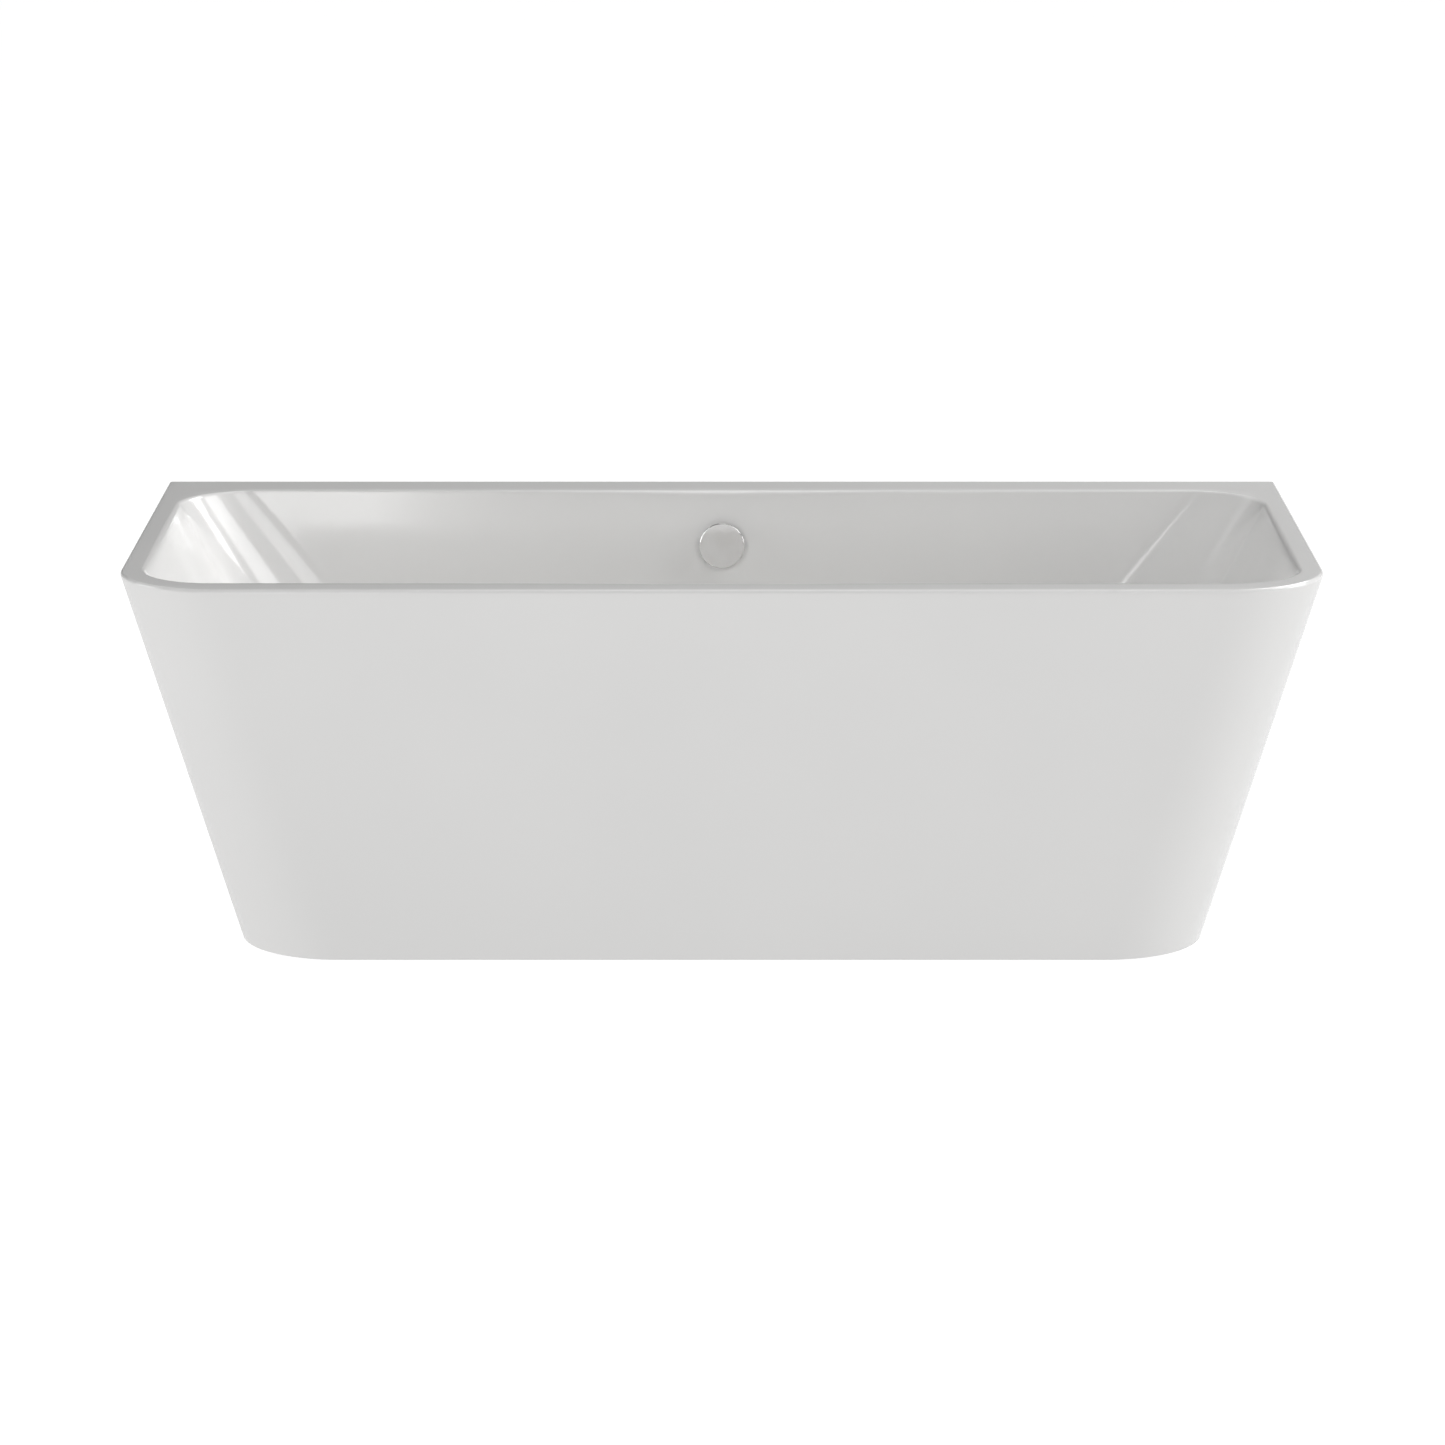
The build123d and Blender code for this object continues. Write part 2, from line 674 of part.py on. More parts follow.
def make_cable_elbow():
    """Carries the cable through the cup's side and up to the pin that lifts the plug."""
    bend_top = cable_z + elbow_bend_r
    corner = (0, drain_y, cable_z)
    start = (-elbow_x, drain_y, cable_z)
    route = FilletPolyline(start, corner, (0, drain_y, bend_top + 1), radius=elbow_bend_r)
    start_plane = Plane(origin=start, z_dir=(1, 0, 0))
    elbow = sweep(start_plane * Circle(elbow_r), path=route)
    sleeve_top = bend_top + sleeve_length
    elbow += post(sleeve_r, bend_top, sleeve_top, 0, drain_y)
    elbow -= post(lift_pin_r + running_gap, bend_top + sleeve_low, sleeve_top + 1, 0, drain_y)
    wire_route = FilletPolyline(start, corner, (0, drain_y, bend_top + sleeve_low + 1), radius=elbow_bend_r)
    elbow -= sweep(start_plane * Circle(wire_hole_r), path=wire_route)
    return elbow - rod(start, (1, 0, 0), cable_r + seated_gap, cable_seat)


def make_elbow_nut():
    place = Plane(origin=(-gland_boss_x, drain_y, cable_z), z_dir=(-1, 0, 0))
    nut = place.location * hex_nut(gland_nut_af, elbow_r + seated_gap, 0, gland_nut_t)
    return nut


def lipped_nut(mouth, direction, socket_r, neck_r_out, washer):
    """Round nut over a socket's mouth. Its lip closes on the pipe beyond the washer."""
    way = Vector(direction).normalized()
    total = nut_length + washer
    start = Vector(mouth) - way * (nut_length - nut_lip)
    nut = rod(start, direction, socket_r + seated_gap + nut_wall, total)
    nut -= rod(start - way, direction, socket_r + seated_gap, total - nut_lip + 1)
    return nut - rod(start, direction, neck_r_out, total + 1)


def make_outlet_washer():
    start = (outlet_mouth_x, drain_y, pipe_z)
    return sleeve(start, (1, 0, 0), pipe_socket_r, pipe_r + seated_gap, washer_t)


def make_outlet_nut():
    mouth = (outlet_mouth_x, drain_y, pipe_z)
    return lipped_nut(mouth, (1, 0, 0), pipe_socket_r, pipe_r + seated_gap, washer_t)


def make_outlet_pipe():
    """Bends from the trap towards the wall and ends in a socket for the house's pipe."""
    start = (outlet_mouth_x - pipe_seat, drain_y, pipe_z)
    neck_y = tail_y - tail_seat - tail_shoulder
    route = FilletPolyline(start, (pipe_x, drain_y, pipe_z), (pipe_x, neck_y, pipe_z), radius=pipe_bend_r)
    outer = sweep(Plane(origin=start, z_dir=(1, 0, 0)) * Circle(pipe_r), path=route)
    hollow = sweep(Plane(origin=start, z_dir=(1, 0, 0)) * Circle(pipe_r - pipe_wall), path=route)
    tail_start = (pipe_x, neck_y, pipe_z)
    shape = outer + rod(tail_start, (0, 1, 0), tail_socket_r, tail_seat + tail_shoulder) - hollow
    shape -= rod((pipe_x, neck_y - 1, pipe_z), (0, 1, 0), pipe_r - pipe_wall, tail_shoulder + 2)
    seat = (pipe_x, tail_y - tail_seat, pipe_z)
    return shape - rod(seat, (0, 1, 0), pipe_r + tail_gap, tail_seat + 1)


def make_tail_washer():
    start = (pipe_x, tail_y, pipe_z)
    return sleeve(start, (0, 1, 0), tail_socket_r, pipe_r + tail_washer_gap, washer_t)


def make_tail_nut():
    return lipped_nut((pipe_x, tail_y, pipe_z), (0, 1, 0), tail_socket_r, pipe_r + tail_washer_gap, washer_t)


def make_plug_cap():
    cap = post(plug_r, plug_low, plug_low + plug_t, 0, drain_y)
    cap = fillet(cap.edges().group_by(Axis.Z)[-1], plug_edge_r)
    cap += post(plug_boss_r, plug_low - plug_boss_h, plug_low, 0, drain_y)
    seat_low = plug_low - plug_boss_h
    return cap - post(plug_stem_r + seated_gap, seat_low - 1, seat_low + plug_stem_seat, 0, drain_y)


def make_plug_seal():
    return ring(plug_seal_r, plug_seal_bore_r, plug_seal_low, plug_low, 0, drain_y)


def make_plug_stem():
    top = plug_low - plug_boss_h + plug_stem_seat
    return post(plug_stem_r, stem_low, top, 0, drain_y) - post(
        lift_pin_r + seated_gap, stem_low - 1, pin_top, 0, drain_y
    )


def make_lift_pin():
    return post(lift_pin_r, pin_low, pin_top, 0, drain_y)


# ---------------------------------------------------------------- overflow, hose and cable
gasket_low = -wall_t - rear_gasket_t
housing_low = gasket_low - housing_flange_t
cavity_top = -neck_length - 1


def make_front_seal():
    return at_overflow(ring(front_seal_r, overflow_hole_r, 0, front_seal_t))


def make_overflow_flange():
    top = front_seal_t + flange_t
    flange = post(flange_r, front_seal_t, top) + post(neck_r, -neck_length, front_seal_t)
    flange -= post(neck_bore_r, -neck_length - 1, top + 1)
    flange += spokes((neck_bore_r + neck_r) / 2, 0, top, hub_r - 1)
    return at_overflow(flange + ring(hub_r, spindle_r + running_gap, 0, top))


def make_rear_gasket():
    return at_overflow(ring(rear_gasket_r, neck_r + seated_gap, gasket_low, -wall_t))


def make_housing():
    down = (0, -1, 0)
    body = post(housing_flange_r, housing_low, gasket_low) + post(housing_r, -housing_depth, gasket_low)
    body += rod((0, 0, -nozzle_depth), down, hose_socket_r, nozzle_reach)
    gland = (0, cable_gland_up, -cable_gland_depth)
    body += rod(gland, (-1, 0, 0), cable_gland_r, cable_gland_reach)
    body -= post(housing_r - housing_wall, -housing_depth + housing_wall, cavity_top)
    body -= post(neck_r + seated_gap, cavity_top - 1, gasket_low + 1)
    body -= rod((0, 0, -nozzle_depth), down, hose_r - hose_wall, nozzle_reach + 1)
    mouth = (0, -nozzle_reach + nozzle_seat, -nozzle_depth)
    body -= rod(mouth, down, hose_r + seated_gap, nozzle_seat + 1)
    body -= rod(gland, (-1, 0, 0), wire_hole_r, cable_gland_reach)
    cable_end = (cable_gland_seat - cable_gland_reach, cable_gland_up, -cable_gland_depth)
    return at_overflow(body - rod(cable_end, (-1, 0, 0), cable_r + seated_gap, cable_gland_seat + 1))


def down_the_wall(point, z):
    """The point straight down the slope of the rear wall from here, at height z."""
    return Vector(point.X, point.Y - rear_slope * (point.Z - z), z)


def make_hose():
    start = overflow_point(0, -nozzle_reach + nozzle_seat, -nozzle_depth)
    corner = down_the_wall(start, inlet_z)
    end = Vector(0, inlet_mouth_y - hose_seat, inlet_z)
    route = FilletPolyline(start, corner, end, radius=hose_bend_r)
    section = Plane(origin=start, z_dir=corner - start) * (Circle(hose_r) - Circle(hose_r - hose_wall))
    hose = sweep(section, path=route)
    print("hose length", round(route.length), "volume over section", round(hose.volume / section.area))
    return hose


def make_upper_nut():
    mouth = (0, -nozzle_reach, -nozzle_depth)
    return at_overflow(lipped_nut(mouth, (0, -1, 0), hose_socket_r, hose_r + seated_gap, 0))


def make_lower_nut():
    return lipped_nut((0, inlet_mouth_y, inlet_z), (0, 1, 0), hose_socket_r, hose_r + seated_gap, 0)


def cable_points():
    start = overflow_point(cable_gland_seat - cable_gland_reach, cable_gland_up, -cable_gland_depth)
    side = Vector(-cable_side_x, start.Y, start.Z)
    foot = down_the_wall(side, cable_z)
    turn = Vector(-cable_side_x, drain_y, cable_z)
    end = Vector(-elbow_x + cable_seat, drain_y, cable_z)
    return [start, side, foot, turn, end]


def make_cable():
    points = cable_points()
    route = FilletPolyline(*points, radius=list(cable_bends))
    section = Plane(origin=points[0], z_dir=(-1, 0, 0)) * Circle(cable_r)
    cable = sweep(section, path=route)
    print("cable length", round(route.length), "volume over section", round(cable.volume / section.area))
    return cable


def make_cable_clips():
    """One clip hangs from the rear rail, the other is bonded to the back of the basin's wall."""
    outer_r = cable_r + seated_gap + clip_wall
    x = -cable_side_x
    hole_r = cable_r + seated_gap
    low = rod((x, rail_rear_y - clip_length / 2, cable_z), (0, 1, 0), outer_r, clip_length)
    half = clip_stalk / 2
    near = rail_rear_y - clip_length / 2
    low += block(x - half, x + half, near, near + clip_length, cable_z, frame_bottom_z)
    low -= rod((x, near - 1, cable_z), (0, 1, 0), hole_r, clip_length + 2)
    place = (x, -wall_clip_drop, -cable_gland_depth)
    high = rod(place, (0, 1, 0), outer_r, clip_length)
    top = place[1] + clip_length
    high += block(x - half, x + half, place[1], top, -cable_gland_depth, -wall_t)
    high -= rod((x, place[1] - 1, -cable_gland_depth), (0, 1, 0), hole_r, clip_length + 2)
    return Compound(children=[low, at_overflow(high)])


# ---------------------------------------------------------------- knob and crank
def make_knob():
    face_low = knob_top - knob_face_t
    knob = post(knob_r, knob_foot, knob_top)
    knob = fillet(knob.edges().group_by(Axis.Z)[-1], knob_edge_r)
    knob -= post(knob_r - knob_wall, knob_foot - 1, face_low)
    knob += post(knob_hub_r, knob_hub_foot, face_low)
    knob -= post(spindle_r + seated_gap, knob_hub_foot - 1, spindle_top)
    knob -= rod((0, 0, grub_at), (0, -1, 0), grub_r + seated_gap, knob_hub_r + 1)
    access = rod((0, -knob_hub_r - 1, grub_at), (0, -1, 0), grub_access_r, knob_r)
    return at_overflow(knob - access)


def make_grub():
    return at_overflow(rod((0, -spindle_r, grub_at), (0, -1, 0), grub_r, knob_hub_r - spindle_r - 1))


def make_spindle():
    return at_overflow(post(spindle_r, -spindle_depth, spindle_top))


def make_crank():
    top = -spindle_depth + crank_t
    arm = Pos(crank_radius / 2, 0, top - crank_t / 2) * Box(crank_radius, 2 * crank_arm_r, crank_t)
    arm += post(crank_arm_r, top - crank_t, top, crank_radius)
    arm += post(crank_pin_r, top - crank_t - crank_pin_length, top - crank_t, crank_radius)
    arm = Rot(0, 0, crank_rest_deg) * arm
    arm += post(crank_boss_r, top - crank_t, top)
    return at_overflow(arm - post(spindle_r + seated_gap, -spindle_depth - 1, top + 1))


# ---------------------------------------------------------------- all the pieces
def make_all():
    pieces = {
        "basin": make_basin(),
        "basin_backing": make_backing(),
        "skirt": make_skirt(),
        "base_board": make_board(),
        "rear_batten": make_batten(),
        "frame_rail_front": make_rail(rail_front_y),
        "frame_rail_rear": make_rail(rail_rear_y),
        "skirt_blocks": make_skirt_blocks(),
        "frame_screws": make_frame_screws(),
        "foot_lock_nuts": make_lock_nuts(),
        "waste_seal": make_waste_seal(),
        "waste_flange": make_waste_flange(),
        "waste_body_gasket": make_body_gasket(),
        "waste_body": make_waste_body(),
        "trap_cup_seal": make_cup_seal(),
        "trap_cup": make_trap_cup(),
        "cable_elbow": make_cable_elbow(),
        "cable_elbow_nut": make_elbow_nut(),
        "outlet_washer": make_outlet_washer(),
        "outlet_nut": make_outlet_nut(),
        "outlet_pipe": make_outlet_pipe(),
        "tail_washer": make_tail_washer(),
        "tail_nut": make_tail_nut(),
        "plug_cap": make_plug_cap(),
        "plug_seal": make_plug_seal(),
        "plug_stem": make_plug_stem(),
        "lift_pin": make_lift_pin(),
        "overflow_front_seal": make_front_seal(),
        "overflow_flange": make_overflow_flange(),
        "overflow_gasket": make_rear_gasket(),
        "overflow_housing": make_housing(),
        "overflow_hose": make_hose(),
        "hose_nut_upper": make_upper_nut(),
        "hose_nut_lower": make_lower_nut(),
        "bowden_cable": make_cable(),
        "cable_clips": make_cable_clips(),
        "knob": make_knob(),
        "knob_grub_screw": make_grub(),
        "spindle": make_spindle(),
        "crank": make_crank(),
    }
    for side, word in ((-1, "left"), (1, "right")):
        pieces[f"frame_bar_{word}"] = make_bar(side)
        pieces[f"frame_tie_{word}"] = make_tie(side)
        pieces[f"frame_outrigger_{word}"] = make_outrigger(side)
    for number, place in enumerate(foot_places, 1):
        pieces[f"foot_{number}_stem"] = make_stem(place)
        pieces[f"foot_{number}_pad"] = make_pad(place)
    return pieces


os.makedirs("parts", exist_ok=True)
for name, shape in make_all().items():
    export_step(shape, f"parts/{name}.step")
    if not shape.is_valid:
        print("not valid:", name)
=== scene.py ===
import json
import math
import bmesh
import bpy
from mathutils import Matrix, Vector


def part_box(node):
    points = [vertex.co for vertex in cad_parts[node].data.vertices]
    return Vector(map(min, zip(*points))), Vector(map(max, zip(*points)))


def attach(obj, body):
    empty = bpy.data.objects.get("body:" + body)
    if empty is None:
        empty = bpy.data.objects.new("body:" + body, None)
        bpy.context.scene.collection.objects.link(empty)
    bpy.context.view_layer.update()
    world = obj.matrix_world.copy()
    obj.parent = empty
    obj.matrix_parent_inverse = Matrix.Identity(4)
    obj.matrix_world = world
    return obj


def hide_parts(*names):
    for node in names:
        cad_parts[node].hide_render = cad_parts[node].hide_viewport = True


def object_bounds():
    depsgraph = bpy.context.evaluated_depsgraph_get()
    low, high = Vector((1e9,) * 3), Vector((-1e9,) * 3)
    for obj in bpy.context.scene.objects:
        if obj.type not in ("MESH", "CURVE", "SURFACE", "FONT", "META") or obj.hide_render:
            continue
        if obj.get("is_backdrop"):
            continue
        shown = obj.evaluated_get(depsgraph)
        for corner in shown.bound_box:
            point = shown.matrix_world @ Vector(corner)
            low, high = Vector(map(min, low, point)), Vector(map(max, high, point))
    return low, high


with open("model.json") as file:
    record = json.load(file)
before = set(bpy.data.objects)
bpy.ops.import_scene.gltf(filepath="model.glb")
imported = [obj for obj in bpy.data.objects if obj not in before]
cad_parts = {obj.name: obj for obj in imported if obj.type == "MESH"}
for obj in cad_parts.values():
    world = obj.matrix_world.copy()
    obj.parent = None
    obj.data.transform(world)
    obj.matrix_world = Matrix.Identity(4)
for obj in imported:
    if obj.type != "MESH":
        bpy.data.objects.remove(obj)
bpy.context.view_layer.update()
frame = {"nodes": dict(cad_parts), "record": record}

# Metres, in the bath's own frame: +X along the bath, +Y to the wall, +Z up from the floor.

# ------------------------------------------------------------------ sizes of the two shells
LENGTH, WIDTH, HEIGHT = 1.700, 0.800, 0.580
HALF_LENGTH, HALF_WIDTH = LENGTH / 2, WIDTH / 2
TAPER = 0.150 / HEIGHT                 # how far the skirt leans in for each metre down
SKIRT_CORNER = 0.150
SKIRT_THICK = 0.005
SKIRT_FOOT = 0.004
RIM_EDGE = 0.005
RIM_LIP = 0.014
OPENING_EDGE = 0.010
LEDGE_THICK, LEDGE_LAP = 0.004, 0.020
SHEET = 0.005                          # thickness of the basin's acrylic
FLOOR_Z = 0.140
FLOOR_BLEND = 0.090
END_LEAN, FRONT_LEAN, REAR_LEAN = 0.61, 0.24, 0.14
OPENING_HALF = HALF_LENGTH - 0.032
OPENING_FRONT = -HALF_WIDTH + 0.047
OPENING_REAR = HALF_WIDTH - 0.075
OPENING_CORNER, FLOOR_CORNER = 0.108, 0.230
RECESS_R, RECESS_DEPTH = 0.042, 0.002
RECESS_FOOT, RECESS_BREAK = 0.002, 0.0006
DRAIN_R = 0.026
OVERFLOW_R, OVERFLOW_REACH = 0.025, 0.030
ACCESS_HALF, ACCESS_TOP, ACCESS_CORNER = 0.380, 0.520, 0.060

STRETCH = math.hypot(1, TAPER)
OVERSHOOT = RIM_EDGE * (TAPER + STRETCH - 1)
SHARP_HALF = HALF_LENGTH + OVERSHOOT
SHARP_FRONT = -HALF_WIDTH - OVERSHOOT
DEPTH = HEIGHT - FLOOR_Z

# how many points run along each stretch of a plan outline
ALONG_FRONT, ALONG_SIDE, ROUND_CORNER = 56, 28, 36
SQUARE_REACH = 0.140


# ------------------------------------------------------------------ plan outlines
def outline(half_x, front, rear, front_r, rear_r, z):
    """Closed plan outline with the same count of points every time. rear_r of None is a square corner."""
    reach = SQUARE_REACH if rear_r is None else rear_r
    points = []

    def run(a, b, count):
        for k in range(count):
            t = k / count
            points.append(Vector((a[0] + (b[0] - a[0]) * t, a[1] + (b[1] - a[1]) * t, z)))

    def turn(cx, cy, radius, start):
        for k in range(ROUND_CORNER):
            a = math.radians(start + 90 * k / ROUND_CORNER)
            points.append(Vector((cx + radius * math.cos(a), cy + radius * math.sin(a), z)))

    run((-half_x + front_r, front), (half_x - front_r, front), ALONG_FRONT)
    turn(half_x - front_r, front + front_r, front_r, 270)
    run((half_x, front + front_r), (half_x, rear - reach), ALONG_SIDE)
    if rear_r is None:
        run((half_x, rear - reach), (half_x, rear), ROUND_CORNER // 2)
        run((half_x, rear), (half_x - reach, rear), ROUND_CORNER // 2)
    else:
        turn(half_x - reach, rear - reach, reach, 0)
    run((half_x - reach, rear), (-half_x + reach, rear), ALONG_FRONT)
    if rear_r is None:
        run((-half_x + reach, rear), (-half_x, rear), ROUND_CORNER // 2)
        run((-half_x, rear), (-half_x, rear - reach), ROUND_CORNER // 2)
    else:
        turn(-half_x + reach, rear - reach, reach, 90)
    run((-half_x, rear - reach), (-half_x, front + front_r), ALONG_SIDE)
    turn(-half_x + front_r, front + front_r, front_r, 180)
    return points


def skirt_line(z, inset=0.0, grow=0.0):
    """Outline of the skirt at height z, taken in by inset through its thickness, or grown level."""
    lean = TAPER * (HEIGHT - z) + inset * STRETCH - grow
    corner = SKIRT_CORNER - inset + grow
    return outline(SHARP_HALF - lean, SHARP_FRONT + lean, HALF_WIDTH - inset, corner, None, z)


def basin_line(z, offset):
    """Sharp outline of the basin's space at height z, with its walls moved out by offset."""
    down = HEIGHT - z
    radius = OPENING_CORNER + (FLOOR_CORNER - OPENING_CORNER) * down / DEPTH + offset
    return outline(
        OPENING_HALF - END_LEAN * down + offset * math.hypot(1, END_LEAN),
        OPENING_FRONT + FRONT_LEAN * down - offset * math.hypot(1, FRONT_LEAN),
        OPENING_REAR - REAR_LEAN * down + offset * math.hypot(1, REAR_LEAN),
        radius, radius, z,
    )


def wall_frames(offset):
    """For each point round the basin: rim corner, floor corner, level way from one to the other, its lean.

    The level way is square to a wall only at the wall's middle, so the rounding at the foot is too
    tight towards the corners and stands outside the basin's true wall there.
    """
    top = basin_line(HEIGHT, offset)
    foot = basin_line(FLOOR_Z - offset, offset)
    frames = []
    for a, b in zip(top, foot):
        level = Vector((b.x - a.x, b.y - a.y, 0))
        lean = math.atan2(level.length, a.z - b.z)
        frames.append((a, b, level.normalized(), lean))
    return frames


def floor_blend(frames, radius, steps):
    """Outlines down the rounded foot of the basin's walls, from the wall to the flat floor."""
    lines = []
    for k in range(steps + 1):
        line = []
        for top, foot, level, lean in frames:
            reach = radius * math.tan((math.pi / 2 - lean) / 2)
            centre = foot + level * reach + Vector((0, 0, radius))
            angle = lean + (math.pi / 2 - lean) * k / steps
            line.append(centre - level * radius * math.cos(angle) - Vector((0, 0, radius * math.sin(angle))))
        lines.append(line)
    return lines


def wall_lines(first, last, steps):
    """Outlines between two others, evenly spaced, without the two themselves."""
    return [[a.lerp(b, k / steps) for a, b in zip(first, last)] for k in range(1, steps)]


def circle_line(line, centre, radius, z):
    """The outline's points moved onto a circle, each in its own direction from the middle."""
    moved = []
    for p in line:
        way = Vector((p.x - centre.x, p.y - centre.y, 0)).normalized()
        moved.append(Vector((centre.x, centre.y, z)) + way * radius)
    return moved


# ------------------------------------------------------------------ meshes
def new_object(name, mesh):
    piece = bpy.data.objects.new(name, mesh)
    bpy.context.collection.objects.link(piece)
    return piece


def skin(name, lines, closed=False):
    """Mesh that joins each outline to the next. closed also joins the last to the first."""
    bm = bmesh.new()
    rows = [[bm.verts.new(p) for p in line] for line in lines]
    pairs = list(zip(rows, rows[1:]))
    if closed:
        pairs.append((rows[-1], rows[0]))
    for one, two in pairs:
        count = len(one)
        for k in range(count):
            bm.faces.new((one[k], one[(k + 1) % count], two[(k + 1) % count], two[k]))
    bmesh.ops.remove_doubles(bm, verts=bm.verts, dist=1e-6)
    bmesh.ops.recalc_face_normals(bm, faces=bm.faces)
    mesh = bpy.data.meshes.new(name)
    bm.to_mesh(mesh)
    bm.free()
    return new_object(name, mesh)


def soften(piece, degrees=30):
    """Smooth shading with edges sharper than this left crisp."""
    piece.data.shade_smooth()
    piece.data.set_sharp_from_angle(angle=math.radians(degrees))


def cut(piece, tool):
    """Takes the tool's solid out of the piece."""
    change = piece.modifiers.new("cut", "BOOLEAN")
    change.operation = "DIFFERENCE"
    change.solver = "EXACT"
    change.object = tool
    bake(piece)
    bpy.data.objects.remove(tool)


def bake(piece):
    """Turns what the modifiers make into the piece's own plain mesh."""
    graph = bpy.context.evaluated_depsgraph_get()
    mesh = bpy.data.meshes.new_from_object(piece.evaluated_get(graph))
    piece.modifiers.clear()
    piece.data = mesh


def rod_mesh(name, start, way, radius, length, sides=96):
    """Plain closed cylinder from a point along a direction."""
    bm = bmesh.new()
    turn = Vector((0, 0, 1)).rotation_difference(way).to_matrix().to_4x4()
    place = Matrix.Translation(start + way.normalized() * length / 2) @ turn
    bmesh.ops.create_cone(
        bm, cap_ends=True, segments=sides, radius1=radius, radius2=radius, depth=length, matrix=place
    )
    mesh = bpy.data.meshes.new(name)
    bm.to_mesh(mesh)
    bm.free()
    return new_object(name, mesh)


# ------------------------------------------------------------------ the basin
DRAIN_Y = (basin_line(FLOOR_Z, 0)[0].y + OPENING_REAR - REAR_LEAN * DEPTH) / 2
OVERFLOW_DROP = 0.082
OVERFLOW_AT = Vector((0, OPENING_REAR - REAR_LEAN * OVERFLOW_DROP, HEIGHT - OVERFLOW_DROP))
OVERFLOW_WAY = Vector((0, -1, REAR_LEAN)).normalized()


def rim_round():
    """Outlines over the rounded edge between the rim's top and the basin's walls."""
    lines = []
    steps = 10
    for k in range(steps + 1):
        line = []
        for top, foot, level, lean in wall_frames(0):
            turn = math.pi / 2 - lean
            reach = OPENING_EDGE * math.tan(turn / 2)
            centre = top - level * reach - Vector((0, 0, OPENING_EDGE))
            angle = turn * k / steps
            rise = Vector((0, 0, OPENING_EDGE * math.cos(angle)))
            line.append(centre + level * OPENING_EDGE * math.sin(angle) + rise)
        lines.append(line)
    return lines


def outer_round():
    """Outlines over the rim's rounded outer edge, from the rim's top to the skirt's slope."""
    turn = math.pi / 2 + math.atan(TAPER)
    reach = RIM_EDGE * math.tan(turn / 2)
    steps = 12
    lines = []
    for k in range(steps + 1):
        angle = turn * k / steps
        z = HEIGHT - RIM_EDGE + RIM_EDGE * math.cos(angle)
        level = TAPER * (HEIGHT - z) - reach + RIM_EDGE * math.sin(angle)
        lines.append(skirt_line(z, 0, level))
    return lines


def make_basin():
    inside = wall_frames(0)
    outside = wall_frames(SHEET)
    centre = Vector((0, DRAIN_Y, 0))
    blend = floor_blend(inside, FLOOR_BLEND, 24)
    over = rim_round()
    edge = outer_round()
    under = floor_blend(outside, FLOOR_BLEND + SHEET, 16)
    recess_top = circle_line(blend[-1], centre, RECESS_R, FLOOR_Z)
    lines = [circle_line(blend[-1], centre, DRAIN_R, FLOOR_Z - RECESS_DEPTH)]
    lines.append(circle_line(blend[-1], centre, RECESS_R - RECESS_FOOT, FLOOR_Z - RECESS_DEPTH))
    low_break = FLOOR_Z - RECESS_DEPTH + RECESS_BREAK
    lines.append(circle_line(blend[-1], centre, RECESS_R - RECESS_BREAK, low_break))
    lines.append(circle_line(blend[-1], centre, RECESS_R - 0.0004, FLOOR_Z - 0.0005))
    lines.append(recess_top)
    lines += wall_lines(recess_top, blend[-1], 10)
    lines += reversed(blend)
    lines += wall_lines(blend[0], over[-1], 16)
    lines += reversed(over)
    lines += wall_lines(over[0], edge[0], 4)
    lines += edge
    lines.append(skirt_line(HEIGHT - RIM_LIP))
    lines.append(skirt_line(HEIGHT - RIM_LIP, SKIRT_THICK))
    lines.append(skirt_line(HEIGHT - SHEET, SKIRT_THICK))
    top_under = basin_line(HEIGHT - SHEET, SHEET)
    lines.append(top_under)
    lines += wall_lines(top_under, under[0], 16)
    lines += under
    drain_under = circle_line(under[-1], centre, DRAIN_R, FLOOR_Z - SHEET)
    lines += wall_lines(under[-1], drain_under, 6)
    lines.append(drain_under)
    basin = skin("bath_basin", lines, closed=True)
    behind = OVERFLOW_AT - OVERFLOW_WAY * OVERFLOW_REACH
    hole = rod_mesh("hole", behind, OVERFLOW_WAY, OVERFLOW_R, OVERFLOW_REACH * 2)
    cut(basin, hole)
    soften(basin)
    return basin


def make_skirt():
    seam = HEIGHT - RIM_LIP
    ledge_top = HEIGHT - SHEET
    lines = []
    foot_out, seam_out = skirt_line(SKIRT_FOOT), skirt_line(seam)
    lines.append(foot_out)
    lines += wall_lines(foot_out, seam_out, 12)
    lines.append(seam_out)
    lines.append(skirt_line(seam, SKIRT_THICK))
    lines.append(skirt_line(ledge_top, SKIRT_THICK))
    lines.append(skirt_line(ledge_top, SKIRT_THICK + LEDGE_THICK))
    lines.append(skirt_line(seam - LEDGE_LAP, SKIRT_THICK + LEDGE_THICK))
    seam_in, foot_in = skirt_line(seam - LEDGE_LAP, SKIRT_THICK), skirt_line(SKIRT_FOOT, SKIRT_THICK)
    lines.append(seam_in)
    lines += wall_lines(seam_in, foot_in, 12)
    lines.append(foot_in)
    skirt = skin("bath_skirt", lines, closed=True)
    cut(skirt, access_tool())
    soften(skirt)
    return skirt


